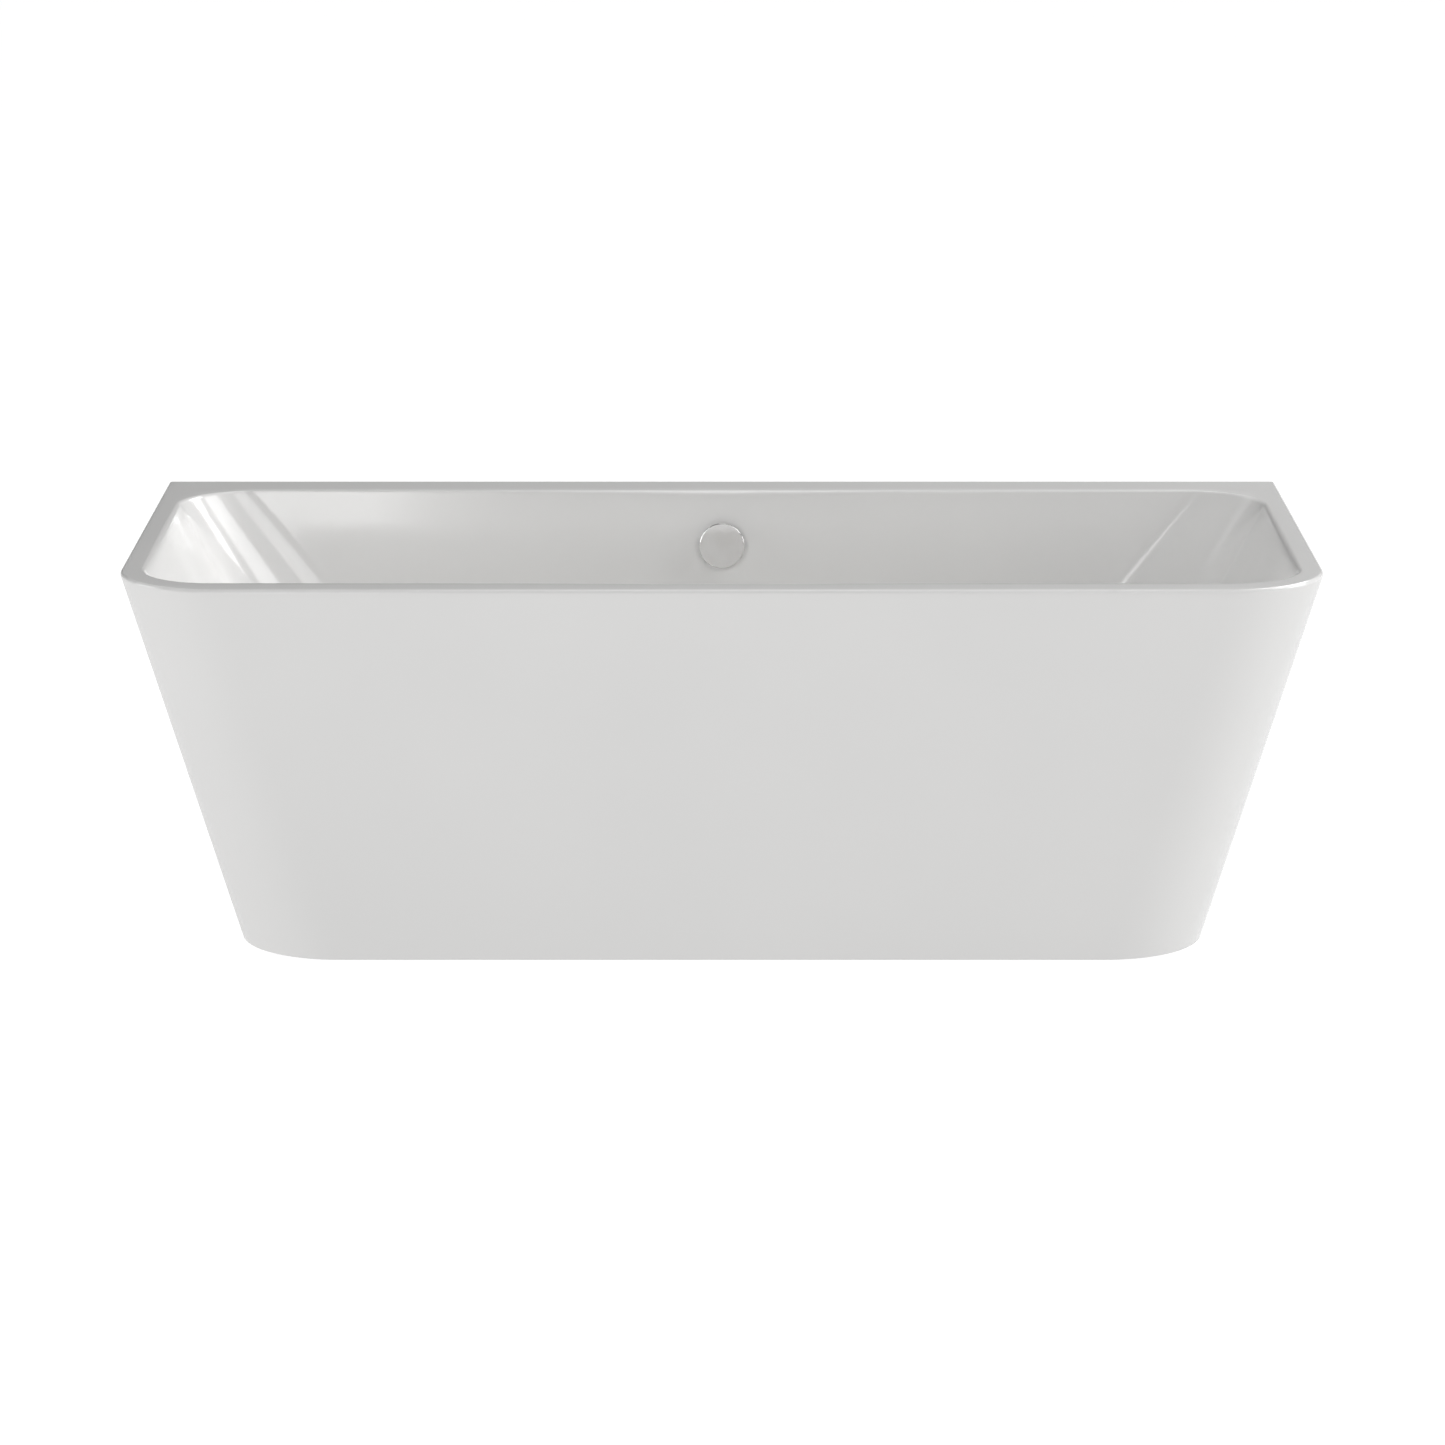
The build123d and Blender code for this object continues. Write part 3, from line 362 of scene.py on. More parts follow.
def access_tool():
    """Solid with round upper corners that opens the skirt's back."""
    shape = [(-ACCESS_HALF, -0.05), (ACCESS_HALF, -0.05)]
    for side, start in ((1, 0), (-1, 90)):
        for k in range(25):
            a = math.radians(start + 90 * k / 24)
            shape.append((
                side * (ACCESS_HALF - ACCESS_CORNER) + ACCESS_CORNER * math.cos(a),
                ACCESS_TOP - ACCESS_CORNER + ACCESS_CORNER * math.sin(a),
            ))
    bm = bmesh.new()
    face = bm.faces.new([bm.verts.new((x, HALF_WIDTH - 0.03, z)) for x, z in shape])
    moved = bmesh.ops.extrude_face_region(bm, geom=[face])["geom"]
    bmesh.ops.translate(bm, vec=(0, 0.06, 0), verts=[g for g in moved if isinstance(g, bmesh.types.BMVert)])
    bmesh.ops.recalc_face_normals(bm, faces=bm.faces)
    mesh = bpy.data.meshes.new("access")
    bm.to_mesh(mesh)
    bm.free()
    return new_object("access", mesh)


# ------------------------------------------------------------------ turned pieces
def arc(radius, height, size, start, end, steps=6):
    """Points of a round edge on a turned section, centred on a radius and height, angles in degrees."""
    points = []
    for k in range(steps + 1):
        a = math.radians(start + (end - start) * k / steps)
        points.append((radius + size * math.cos(a), height + size * math.sin(a)))
    return points


def stretch(radius, low, high, step):
    """Close-set points up a straight side, for a thread to be cut in."""
    count = round((high - low) / step)
    return [(radius, low + (high - low) * k / count) for k in range(count + 1)]


def hexagon(across_flats, limit):
    """Radius of a hexagon at each angle, with its corners taken down to the limit."""
    def radius(angle):
        off = (angle % (math.pi / 3)) - math.pi / 6
        return min(across_flats / 2 / math.cos(off), limit)
    return radius


def turned(name, section, sides=96):
    """Shell turned about Z. The section's points are (radius, height), and a radius of 0 is a pole."""
    bm = bmesh.new()
    rows = []
    for radius, height in section:
        if radius == 0:
            rows.append([bm.verts.new((0, 0, height))])
            continue
        row = []
        for k in range(sides):
            a = 2 * math.pi * k / sides
            r = radius(a) if callable(radius) else radius
            row.append(bm.verts.new((r * math.cos(a), r * math.sin(a), height)))
        rows.append(row)
    for one, two in zip(rows, rows[1:] + rows[:1]):
        if len(one) == 1 and len(two) == 1:
            continue
        for k in range(sides):
            after = (k + 1) % sides
            ring = [one[k % len(one)], one[after % len(one)], two[after % len(two)], two[k % len(two)]]
            bm.faces.new(list(dict.fromkeys(ring)))
    bmesh.ops.recalc_face_normals(bm, faces=bm.faces)
    mesh = bpy.data.meshes.new(name)
    bm.to_mesh(mesh)
    bm.free()
    return new_object(name, mesh)


def along(start, way):
    """Placement that puts a turned piece's axis along a direction."""
    return Matrix.Translation(start) @ Vector(way).to_track_quat("Z", "Y").to_matrix().to_4x4()


def overflow_frame():
    """The overflow hole's own frame: local Z out of the wall, local Y up the wall."""
    across = Vector((1, 0, 0))
    up = OVERFLOW_WAY.cross(across)
    place = Matrix((across, up, OVERFLOW_WAY)).transposed().to_4x4()
    return Matrix.Translation(OVERFLOW_AT) @ place


def fit(piece, place, node, body, finish, degrees=30):
    """Puts a finished piece in its place, gives it its finish, hides the node it stands for and hangs it
    under its body.
    """
    piece.data.transform(place)
    piece.data.materials.clear()
    piece.data.materials.append(finish)
    soften(piece, degrees)
    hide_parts(node)
    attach(piece, body)
    return piece


# ------------------------------------------------------------------ geometry node trees
class Tree:
    """A geometry node tree under construction, with a named input for each size."""

    def __init__(self, name, **sizes):
        self.group = bpy.data.node_groups.new(name, "GeometryNodeTree")
        face = self.group.interface
        face.new_socket("Geometry", in_out="INPUT", socket_type="NodeSocketGeometry")
        face.new_socket("Geometry", in_out="OUTPUT", socket_type="NodeSocketGeometry")
        kinds = {int: "NodeSocketInt", float: "NodeSocketFloat"}
        for label, number in sizes.items():
            kind = kinds.get(type(number), "NodeSocketObject")
            socket = face.new_socket(label.replace("_", " "), in_out="INPUT", socket_type=kind)
            if kind != "NodeSocketObject":
                socket.default_value = number
        face.new_socket("Finish", in_out="INPUT", socket_type="NodeSocketMaterial")
        self.given = self.group.nodes.new("NodeGroupInput").outputs
        self.result = self.group.nodes.new("NodeGroupOutput").inputs

    def add(self, kind, settings=None, **inputs):
        """A new node, with its settings and what goes into its sockets."""
        node = self.group.nodes.new(kind)
        for name, value in (settings or {}).items():
            setattr(node, name, value)
        for name, value in inputs.items():
            self.plug(node.inputs[name.replace("_", " ")], value)
        return node

    def plug(self, socket, value):
        if isinstance(value, bpy.types.NodeSocket):
            self.group.links.new(value, socket)
        else:
            socket.default_value = value

    def sum(self, operation, *values):
        """A number worked out from others."""
        node = self.group.nodes.new("ShaderNodeMath")
        node.operation = operation
        for socket, value in zip(node.inputs, values):
            self.plug(socket, value)
        return node.outputs[0]

    def end(self, geometry):
        """Realizes what the tree made, gives it its finish and hands it out."""
        real = self.add("GeometryNodeRealizeInstances", Geometry=geometry)
        coat = self.add("GeometryNodeSetMaterial", Geometry=real.outputs[0], Material=self.given["Finish"])
        self.group.links.new(coat.outputs[0], self.result["Geometry"])
        return self

    def polar(self):
        """Each point's radius, angle in turns and height, and the parts of its place."""
        place = self.add("GeometryNodeInputPosition").outputs[0]
        parts = self.add("ShaderNodeSeparateXYZ", Vector=place).outputs
        square_y = self.sum("POWER", parts[1], 2.0)
        radius = self.sum("SQRT", self.sum("MULTIPLY_ADD", parts[0], parts[0], square_y))
        turns = self.sum("DIVIDE", self.sum("ARCTAN2", parts[1], parts[0]), 2 * math.pi)
        return radius, turns, parts

    def within(self, value, low, high):
        """1 between two limits and 0 outside them."""
        over = self.sum("GREATER_THAN", value, low)
        return self.sum("MULTIPLY", over, self.sum("LESS_THAN", value, high))

    def move_in(self, geometry, radius, parts, amount):
        """Moves each point of a shape towards the Z axis by an amount."""
        scale = self.sum("SUBTRACT", 1.0, self.sum("DIVIDE", amount, self.sum("MAXIMUM", radius, 1e-6)))
        x, y = self.sum("MULTIPLY", parts[0], scale), self.sum("MULTIPLY", parts[1], scale)
        place = self.add("ShaderNodeCombineXYZ", X=x, Y=y, Z=parts[2]).outputs[0]
        return self.add("GeometryNodeSetPosition", Geometry=geometry, Position=place).outputs[0]


def grow(piece, tree, finish, **sizes):
    """Runs a tree on a piece and keeps the plain mesh that it makes."""
    change = piece.modifiers.new("grow", "NODES")
    change.node_group = tree.group
    values = {name.replace("_", " "): value for name, value in sizes.items()}
    values["Finish"] = finish
    for item in tree.group.interface.items_tree:
        if item.in_out == "INPUT" and item.name in values:
            change[item.identifier] = values[item.name]
    bake(piece)
    return piece


def thread_tree():
    """Cuts a screw thread into the side of a turned shape."""
    tree = Tree("cut a thread", Pitch=0.002, Depth=0.001, Crest=0.006, Low=0.0, High=0.1)
    given = tree.given
    radius, turns, parts = tree.polar()
    phase = tree.sum("FRACT", tree.sum("SUBTRACT", tree.sum("DIVIDE", parts[2], given["Pitch"]), turns))
    slope = tree.sum("ABSOLUTE", tree.sum("MULTIPLY_ADD", phase, 2.0, -1.0))
    depth = tree.sum("MULTIPLY", given["Depth"], tree.sum("SUBTRACT", 1.0, slope))
    here = tree.within(parts[2], given["Low"], given["High"])
    near = tree.sum("LESS_THAN", tree.sum("ABSOLUTE", tree.sum("SUBTRACT", radius, given["Crest"])), 1e-5)
    cut_depth = tree.sum("MULTIPLY", depth, tree.sum("MULTIPLY", here, near))
    return tree.end(tree.move_in(given["Geometry"], radius, parts, cut_depth))


def grip_tree():
    """Cuts finger grooves up the outside of a turned nut."""
    tree = Tree("cut grip grooves", Count=30, Depth=0.001, Outside=0.02)
    given = tree.given
    radius, turns, parts = tree.polar()
    wave = tree.sum("COSINE", tree.sum("MULTIPLY", turns, tree.sum("MULTIPLY", given["Count"], 2 * math.pi)))
    groove = tree.sum("POWER", tree.sum("MULTIPLY_ADD", wave, -0.5, 0.5), 1.6)
    near = tree.sum("LESS_THAN", tree.sum("ABSOLUTE", tree.sum("SUBTRACT", radius, given["Outside"])), 1e-5)
    amount = tree.sum("MULTIPLY", given["Depth"], tree.sum("MULTIPLY", groove, near))
    return tree.end(tree.move_in(given["Geometry"], radius, parts, amount))


def scatter_tree():
    """Puts one fixing at each point of a shape."""
    tree = Tree("fixings at their places", Fixing=None)
    info = tree.add("GeometryNodeObjectInfo", Object=tree.given["Fixing"], As_Instance=True)
    fixing = info.outputs["Geometry"]
    points = tree.given["Geometry"]
    return tree.end(tree.add("GeometryNodeInstanceOnPoints", Points=points, Instance=fixing).outputs[0])


def hose_tree():
    """Corrugated hose along a route, with a plain cuff at each end."""
    tree = Tree(
        "corrugated hose", Bend_radius=0.1, Radius=0.02, Groove=0.001, Pitch=0.004, Cuff=0.02,
        Rings=600, Sides=48,
    )
    given = tree.given
    line = tree.add("GeometryNodeMeshToCurve", Mesh=given["Geometry"]).outputs[0]
    bent = tree.add(
        "GeometryNodeFilletCurve", {"mode": "POLY"}, Curve=line, Radius=given["Bend radius"], Count=64
    ).outputs[0]
    even = tree.add("GeometryNodeResampleCurve", Curve=bent, Count=given["Rings"]).outputs[0]
    run = tree.add("GeometryNodeSplineParameter").outputs["Length"]
    total = tree.add("GeometryNodeSplineLength").outputs["Length"]
    from_end = tree.sum("MINIMUM", run, tree.sum("SUBTRACT", total, run))
    wave = tree.sum("COSINE", tree.sum("MULTIPLY", tree.sum("DIVIDE", run, given["Pitch"]), 2 * math.pi))
    dip = tree.sum("POWER", tree.sum("MULTIPLY_ADD", wave, -0.5, 0.5), 0.7)
    ribbed = tree.sum("GREATER_THAN", from_end, given["Cuff"])
    depth = tree.sum("MULTIPLY", given["Groove"], tree.sum("MULTIPLY", dip, ribbed))
    size = tree.sum("SUBTRACT", given["Radius"], depth)
    sized = tree.add("GeometryNodeSetCurveRadius", Curve=even, Radius=size).outputs[0]
    circle = tree.add("GeometryNodeCurvePrimitiveCircle", Resolution=given["Sides"], Radius=1.0)
    round_line = circle.outputs[0]
    settings = {"Curve": sized, "Profile_Curve": round_line, "Fill_Caps": True}
    node = tree.add("GeometryNodeCurveToMesh", **settings)
    scale = node.inputs.get("Scale")
    if scale:
        tree.plug(scale, tree.add("GeometryNodeInputRadius").outputs[0])
    return tree.end(node.outputs[0])


# ------------------------------------------------------------------ knob and plug
KNOB_R, KNOB_TOP, KNOB_FOOT, KNOB_FACE, KNOB_WALL, KNOB_EDGE = 0.034, 0.016, 0.007, 0.003, 0.003, 0.001
HUB_R, HUB_FOOT, SPINDLE_BORE, SPINDLE_TOP = 0.009, 0.005, 0.00402, 0.012
GRUB_AT, GRUB_R, GRUB_ACCESS_R = 0.0095, 0.00202, 0.0022
BREAK = 0.0003                         # how far a sharp edge is taken off


def make_knob():
    """Disc with a deep rim, a hub for the spindle, and the hole that the hexagon key goes in by."""
    inside = KNOB_R - KNOB_WALL
    under = KNOB_TOP - KNOB_FACE
    flat = KNOB_R - KNOB_EDGE
    section = [(0, KNOB_TOP), (KNOB_R * 0.5, KNOB_TOP), (flat - BREAK, KNOB_TOP)]
    section += arc(flat, KNOB_TOP - KNOB_EDGE, KNOB_EDGE, 90, 0, 10)
    section += [(KNOB_R, KNOB_FOOT + BREAK), (KNOB_R - BREAK, KNOB_FOOT), (inside, KNOB_FOOT)]
    section += [(inside, under), (HUB_R, under), (HUB_R, HUB_FOOT + BREAK), (HUB_R - BREAK, HUB_FOOT)]
    section += [(SPINDLE_BORE, HUB_FOOT), (SPINDLE_BORE, SPINDLE_TOP), (0, SPINDLE_TOP)]
    knob = turned("overflow_turn_knob", section, 144)
    down = Vector((0, -1, 0))
    cut(knob, rod_mesh("hole", Vector((0, -SPINDLE_BORE / 2, GRUB_AT)), down, GRUB_R, HUB_R, 32))
    cut(knob, rod_mesh("hole", Vector((0, -HUB_R * 2, GRUB_AT)), down, GRUB_ACCESS_R, HUB_R * 2, 32))
    return knob


PLUG_R, PLUG_EDGE, PLUG_DOME = 0.033, 0.0015, 0.0005
PLUG_BOSS_R, STEM_BORE, STEM_SEAT = 0.008, 0.00402, 0.008


def make_plug():
    """Pop-up plug: a slightly domed disc with a boss below for its stem."""
    low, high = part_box("plug_cap")
    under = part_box("plug_seal")[1].z
    flat = PLUG_R - PLUG_EDGE
    section = [(0, high.z)]
    for k in range(1, 10):
        section.append((flat * k / 10, high.z - PLUG_DOME * (k / 10) ** 2))
    section += arc(flat, high.z - PLUG_DOME - PLUG_EDGE, PLUG_EDGE, 90, 0, 8)
    section += [(PLUG_R, under + BREAK), (PLUG_R - BREAK, under), (PLUG_BOSS_R, under)]
    section += [(PLUG_BOSS_R, low.z + BREAK), (PLUG_BOSS_R - BREAK, low.z), (STEM_BORE, low.z)]
    section += [(STEM_BORE, low.z + STEM_SEAT), (0, low.z + STEM_SEAT)]
    return turned("pop_up_plug", section, 128)


# ------------------------------------------------------------------ feet and frame screws
STEM_R, STEM_STEP, THREAD_PITCH, THREAD_DEPTH = 0.006, 0.00022, 0.00175, 0.00095
KEY_FLATS, KEY_LOW, KEY_HIGH = 0.017, 0.022, 0.032
NUT_FLATS, NUT_BORE = 0.019, 0.00605
SCREW_R, SCREW_HEAD_R, SCREW_HEAD = 0.0025, 0.005, 0.003
SCREW_PITCH, SCREW_DEPTH, SCREW_STEP = 0.0018, 0.0006, 0.0002
RAIL_SCREW_INSET, BAR_SCREW_REACH = 0.157, 0.068


def hex_collar(across_flats, low, high, taper):
    """Section points of a hexagon whose corners are chamfered at both ends."""
    small = across_flats / 2 * 0.985
    full = hexagon(across_flats, across_flats)
    return [(small, low), (full, low + taper), (full, high - taper), (small, high)]


def middle(node):
    """Centre of a node's box, at its foot."""
    low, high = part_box(node)
    return Vector(((low.x + high.x) / 2, (low.y + high.y) / 2, low.z))


def make_stem(number, thread, finish):
    """Threaded foot stem with a hexagon for the spanner."""
    low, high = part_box(f"foot_{number}_stem")
    key_low, key_high, tip = KEY_LOW - low.z, KEY_HIGH - low.z, high.z - low.z
    section = [(0, 0), (STEM_R - BREAK, 0), (STEM_R, BREAK), (STEM_R, key_low)]
    section += hex_collar(KEY_FLATS, key_low, key_high, 0.0012)
    section += stretch(STEM_R, key_high + STEM_STEP, tip - 0.001, STEM_STEP)
    section += [(STEM_R - 0.001, tip), (0, tip)]
    stem = turned(f"foot_{number}_threaded_stem", section, 48)
    return grow(
        stem, thread, finish, Pitch=THREAD_PITCH, Depth=THREAD_DEPTH, Crest=STEM_R,
        Low=key_high + THREAD_PITCH, High=tip - 0.0008,
    )


def make_screw(thread, finish):
    """Pan-head screw with a cross recess, head down, its seat at height 0."""
    section = [(0, -SCREW_HEAD)]
    for k in range(1, 10):
        a = math.radians(10 * k)
        section.append((SCREW_HEAD_R * math.sin(a) ** 0.8, -SCREW_HEAD * math.cos(a) ** 0.8))
    section += [(SCREW_HEAD_R, -0.0004), (SCREW_HEAD_R, 0)]
    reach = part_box("frame_screws")[1].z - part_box("frame_rail_rear")[0].z
    section += stretch(SCREW_R, 0, reach - 0.003, SCREW_STEP) + [(0, reach)]
    screw = turned("screw", section, 32)
    grow(
        screw, thread, finish, Pitch=SCREW_PITCH, Depth=SCREW_DEPTH, Crest=SCREW_R,
        Low=SCREW_PITCH, High=reach - 0.003,
    )
    for turn in (0, 1):
        cut(screw, slot_tool(turn))
    return screw


def slot_tool(turn):
    """One bar of the cross recess, tapered to the bottom."""
    bm = bmesh.new()
    wide, narrow = 0.0022, 0.0010
    half = 0.0005
    corners = []
    for z, reach in ((-SCREW_HEAD - 0.001, wide + 0.0006), (-SCREW_HEAD + 0.0019, narrow)):
        corners.append([bm.verts.new(p) for p in (
            (-reach, -half, z), (reach, -half, z), (reach, half, z), (-reach, half, z)
        )])
    one, two = corners
    bm.faces.new(one)
    bm.faces.new(two)
    for k in range(4):
        bm.faces.new((one[k], one[(k + 1) % 4], two[(k + 1) % 4], two[k]))
    bmesh.ops.recalc_face_normals(bm, faces=bm.faces)
    bmesh.ops.rotate(bm, verts=bm.verts, matrix=Matrix.Rotation(turn * math.pi / 2, 3, "Z"))
    mesh = bpy.data.meshes.new("slot")
    bm.to_mesh(mesh)
    bm.free()
    return new_object("slot", mesh)


def make_lock_nut():
    """Hexagon nut with chamfered corners and a chamfered bore, its foot at height 0."""
    low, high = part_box("foot_lock_nuts")
    tall = high.z - low.z
    section = [(NUT_BORE, BREAK * 2), (NUT_BORE + BREAK * 2, 0)]
    section += hex_collar(NUT_FLATS, 0, tall, 0.0014)
    section += [(NUT_BORE + BREAK * 2, tall), (NUT_BORE, tall - BREAK * 2)]
    return turned("nut", section, 72)


def fixings(name, fixing, places, scatter, finish):
    """One piece that holds a copy of a fixing at each place."""
    mesh = bpy.data.meshes.new(name)
    mesh.from_pydata(places, [], [])
    piece = new_object(name, mesh)
    grow(piece, scatter, finish, Fixing=fixing)
    bpy.data.objects.remove(fixing)
    return piece


def screw_places():
    """Where the frame is screwed up into the board: along both rails and beside the drain on the end bars."""
    bar = middle("frame_bar_right").x
    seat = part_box("frame_rail_rear")[0].z
    places = []
    for side in (-1, 1):
        for rail in ("frame_rail_front", "frame_rail_rear"):
            places.append((side * (bar - RAIL_SCREW_INSET), middle(rail).y, seat))
        for way in (-1, 1):
            places.append((side * bar, DRAIN_Y + way * BAR_SCREW_REACH, seat))
    return places


# ------------------------------------------------------------------ hose and union nuts
HOSE_R, HOSE_BEND, HOSE_GROOVE, HOSE_PITCH, HOSE_CUFF = 0.018, 0.144, 0.0022, 0.0042, 0.032
INLET_Z = 0.064
NOZZLE_START, NOZZLE_MOUTH, NOZZLE_DEPTH = 0.044, 0.062, 0.03402
NUT_LENGTH, NUT_LIP, NUT_WALL, NUT_EDGE = 0.016, 0.004, 0.003, 0.0008
HOSE_NECK, OUTLET_NECK, TAIL_NECK = 0.01802, 0.02002, 0.0204
GRIPS, GRIP_DEPTH = 28, 0.0011


def make_hose(tree, finish):
    """Overflow hose from the housing's nozzle, down behind the basin and in to the trap."""
    start = overflow_frame() @ Vector((0, -NOZZLE_START, -NOZZLE_DEPTH))
    corner = Vector((0, start.y - REAR_LEAN * (start.z - INLET_Z), INLET_Z))
    end = Vector((0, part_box("overflow_hose")[0].y, INLET_Z))
    mesh = bpy.data.meshes.new("overflow_corrugated_hose")
    mesh.from_pydata([start, corner, end], [(0, 1), (1, 2)], [])
    hose = new_object("overflow_corrugated_hose", mesh)
    return grow(
        hose, tree, finish, Bend_radius=HOSE_BEND, Radius=HOSE_R, Groove=HOSE_GROOVE, Pitch=HOSE_PITCH,
        Cuff=HOSE_CUFF, Rings=1000, Sides=48,
    )


def make_union_nut(name, outside, inside, neck, length, grip, finish):
    """Round union nut with finger grooves outside and a lip that closes on the pipe. Mouth end up."""
    foot = [(inside, BREAK), (inside + BREAK, 0), (outside - NUT_EDGE, 0), (outside, NUT_EDGE)]
    head = [(outside, length - NUT_LIP * 0.6), (outside - NUT_EDGE * 2, length), (neck + BREAK, length)]
    lip = [(neck, length - BREAK), (neck, length - NUT_LIP), (inside, length - NUT_LIP)]
    nut = turned(name, foot + head + lip, GRIPS * 8)
    return grow(nut, grip, finish, Count=GRIPS, Depth=GRIP_DEPTH, Outside=outside)


def straight_nut(name, node, way, neck, grip, finish):
    """Union nut that runs along X or Y, sized from its node."""
    low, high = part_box(node)
    way = Vector(way)
    length = abs((high - low).dot(way))
    outside = (high.z - low.z) / 2
    centre = (low + high) / 2
    nut = make_union_nut(name, outside, outside - NUT_WALL, neck, length, grip, finish)
    return nut, along(centre - way * length / 2, way)


# ------------------------------------------------------------------ materials
class Finish:
    """A node material under construction. Its patterns are in metres on the object's own coordinates."""

    def __init__(self, name, **values):
        self.material = bpy.data.materials.new(name)
        self.material.use_nodes = True
        self.nodes = self.material.node_tree.nodes
        self.links = self.material.node_tree.links
        self.shader = self.nodes["Principled BSDF"]
        self.place = self.nodes.new("ShaderNodeTexCoord").outputs["Object"]
        for label, value in values.items():
            self.shader.inputs[label.replace("_", " ")].default_value = value

    def mapped(self, stretch, turn=(0, 0, 0)):
        """The coordinates turned and stretched, for a pattern that has a direction."""
        mapping = self.nodes.new("ShaderNodeMapping")
        mapping.inputs["Scale"].default_value = stretch
        mapping.inputs["Rotation"].default_value = [math.radians(a) for a in turn]
        self.links.new(self.place, mapping.inputs["Vector"])
        return mapping.outputs["Vector"]

    def noise(self, scale, detail=4.0, roughness=0.5, place=None):
        node = self.nodes.new("ShaderNodeTexNoise")
        node.inputs["Scale"].default_value = scale
        node.inputs["Detail"].default_value = detail
        node.inputs["Roughness"].default_value = roughness
        self.links.new(place or self.place, node.inputs["Vector"])
        return node.outputs["Fac"]

    def cells(self, scale, output="Distance", place=None, feature="F1"):
        node = self.nodes.new("ShaderNodeTexVoronoi")
        node.feature = feature
        node.inputs["Scale"].default_value = scale
        self.links.new(place or self.place, node.inputs["Vector"])
        return node.outputs[output]

    def single(self, colour):
        """One channel of a random colour, as a number."""
        node = self.nodes.new("ShaderNodeSeparateColor")
        self.links.new(colour, node.inputs["Color"])
        return node.outputs["Red"]

    def ramp(self, value, *stops):
        """Colours at positions along a pattern's value."""
        node = self.nodes.new("ShaderNodeValToRGB")
        marks = node.color_ramp.elements
        while len(marks) < len(stops):
            marks.new(0.5)
        for mark, (position, colour) in zip(marks, stops):
            mark.position = position
            mark.color = tuple(colour) + (1.0,)
        self.links.new(value, node.inputs["Fac"])
        return node.outputs["Color"]

    def span(self, value, low, high, out_low, out_high):
        node = self.nodes.new("ShaderNodeMapRange")
        limits = {"From Min": low, "From Max": high, "To Min": out_low, "To Max": out_high}
        for name, number in limits.items():
            node.inputs[name].default_value = number
        self.links.new(value, node.inputs["Value"])
        return node.outputs["Result"]

    def math(self, operation, one, two):
        node = self.nodes.new("ShaderNodeMath")
        node.operation = operation
        for socket, value in zip(node.inputs, (one, two)):
            if isinstance(value, bpy.types.NodeSocket):
                self.links.new(value, socket)
            else:
                socket.default_value = value
        return node.outputs[0]

    def mix(self, share, one, two, blend="MIX"):
        """Two colours mixed by a pattern."""
        node = self.nodes.new("ShaderNodeMix")
        node.data_type = "RGBA"
        node.blend_type = blend
        for socket, value in ((node.inputs[0], share), (node.inputs[6], one), (node.inputs[7], two)):
            if isinstance(value, bpy.types.NodeSocket):
                self.links.new(value, socket)
            else:
                socket.default_value = value
        return node.outputs[2]

    def colour(self, value):
        self.links.new(value, self.shader.inputs["Base Color"])
        return self

    def roughness(self, value):
        self.links.new(value, self.shader.inputs["Roughness"])
        return self

    def relief(self, value, height, strength=1.0):
        node = self.nodes.new("ShaderNodeBump")
        node.inputs["Distance"].default_value = height
        node.inputs["Strength"].default_value = strength
        self.links.new(value, node.inputs["Height"])
        self.links.new(node.outputs["Normal"], self.shader.inputs["Normal"])
        return self


def grey(value):
    return (value, value, value)


def glossy_acrylic():
    """Cast sanitary acrylic: even white, high gloss, with the faint ripple that forming leaves."""
    f = Finish("glossy white acrylic", IOR=1.49)
    cloud = f.noise(2.6, 3.0)
    f.colour(f.ramp(cloud, (0.3, (0.794, 0.791, 0.784)), (0.7, (0.813, 0.809, 0.801))))
    f.roughness(f.span(f.math("ADD", f.noise(7.0, 3.0), f.noise(260.0, 2.0)), 0.7, 1.3, 0.085, 0.145))
    f.relief(f.math("ADD", f.noise(9.0, 2.0), f.math("MULTIPLY", f.noise(420.0, 1.0), 0.012)), 0.00009)
    return f.material


def glass_laminate():
    """Sprayed glass-fibre laminate: short strands every way in yellowish resin, rough to the touch."""
    f = Finish("glass-fibre laminate", IOR=1.53, Coat_Weight=0.25)
    strands = None
    for turn in ((0, 0, 20), (0, 55, 100), (60, 0, 150), (30, 80, 45)):
        lines = f.noise(1.0, 2.0, 0.6, f.mapped((46, 620, 620), turn))
        sharp = f.span(lines, 0.52, 0.66, 0.0, 1.0)
        strands = sharp if strands is None else f.math("MAXIMUM", strands, sharp)
    resin = f.ramp(f.noise(14.0, 5.0), (0.3, (0.50, 0.47, 0.30)), (0.7, (0.66, 0.64, 0.48)))
    f.colour(f.mix(f.math("MULTIPLY", strands, 0.6), resin, (0.80, 0.80, 0.70, 1.0)))
    f.roughness(f.span(strands, 0.0, 1.0, 0.34, 0.62))
    lumps = f.noise(60.0, 4.0)
    f.relief(f.math("ADD", f.math("MULTIPLY", strands, 0.35), lumps), 0.0009, 0.8)
    return f.material


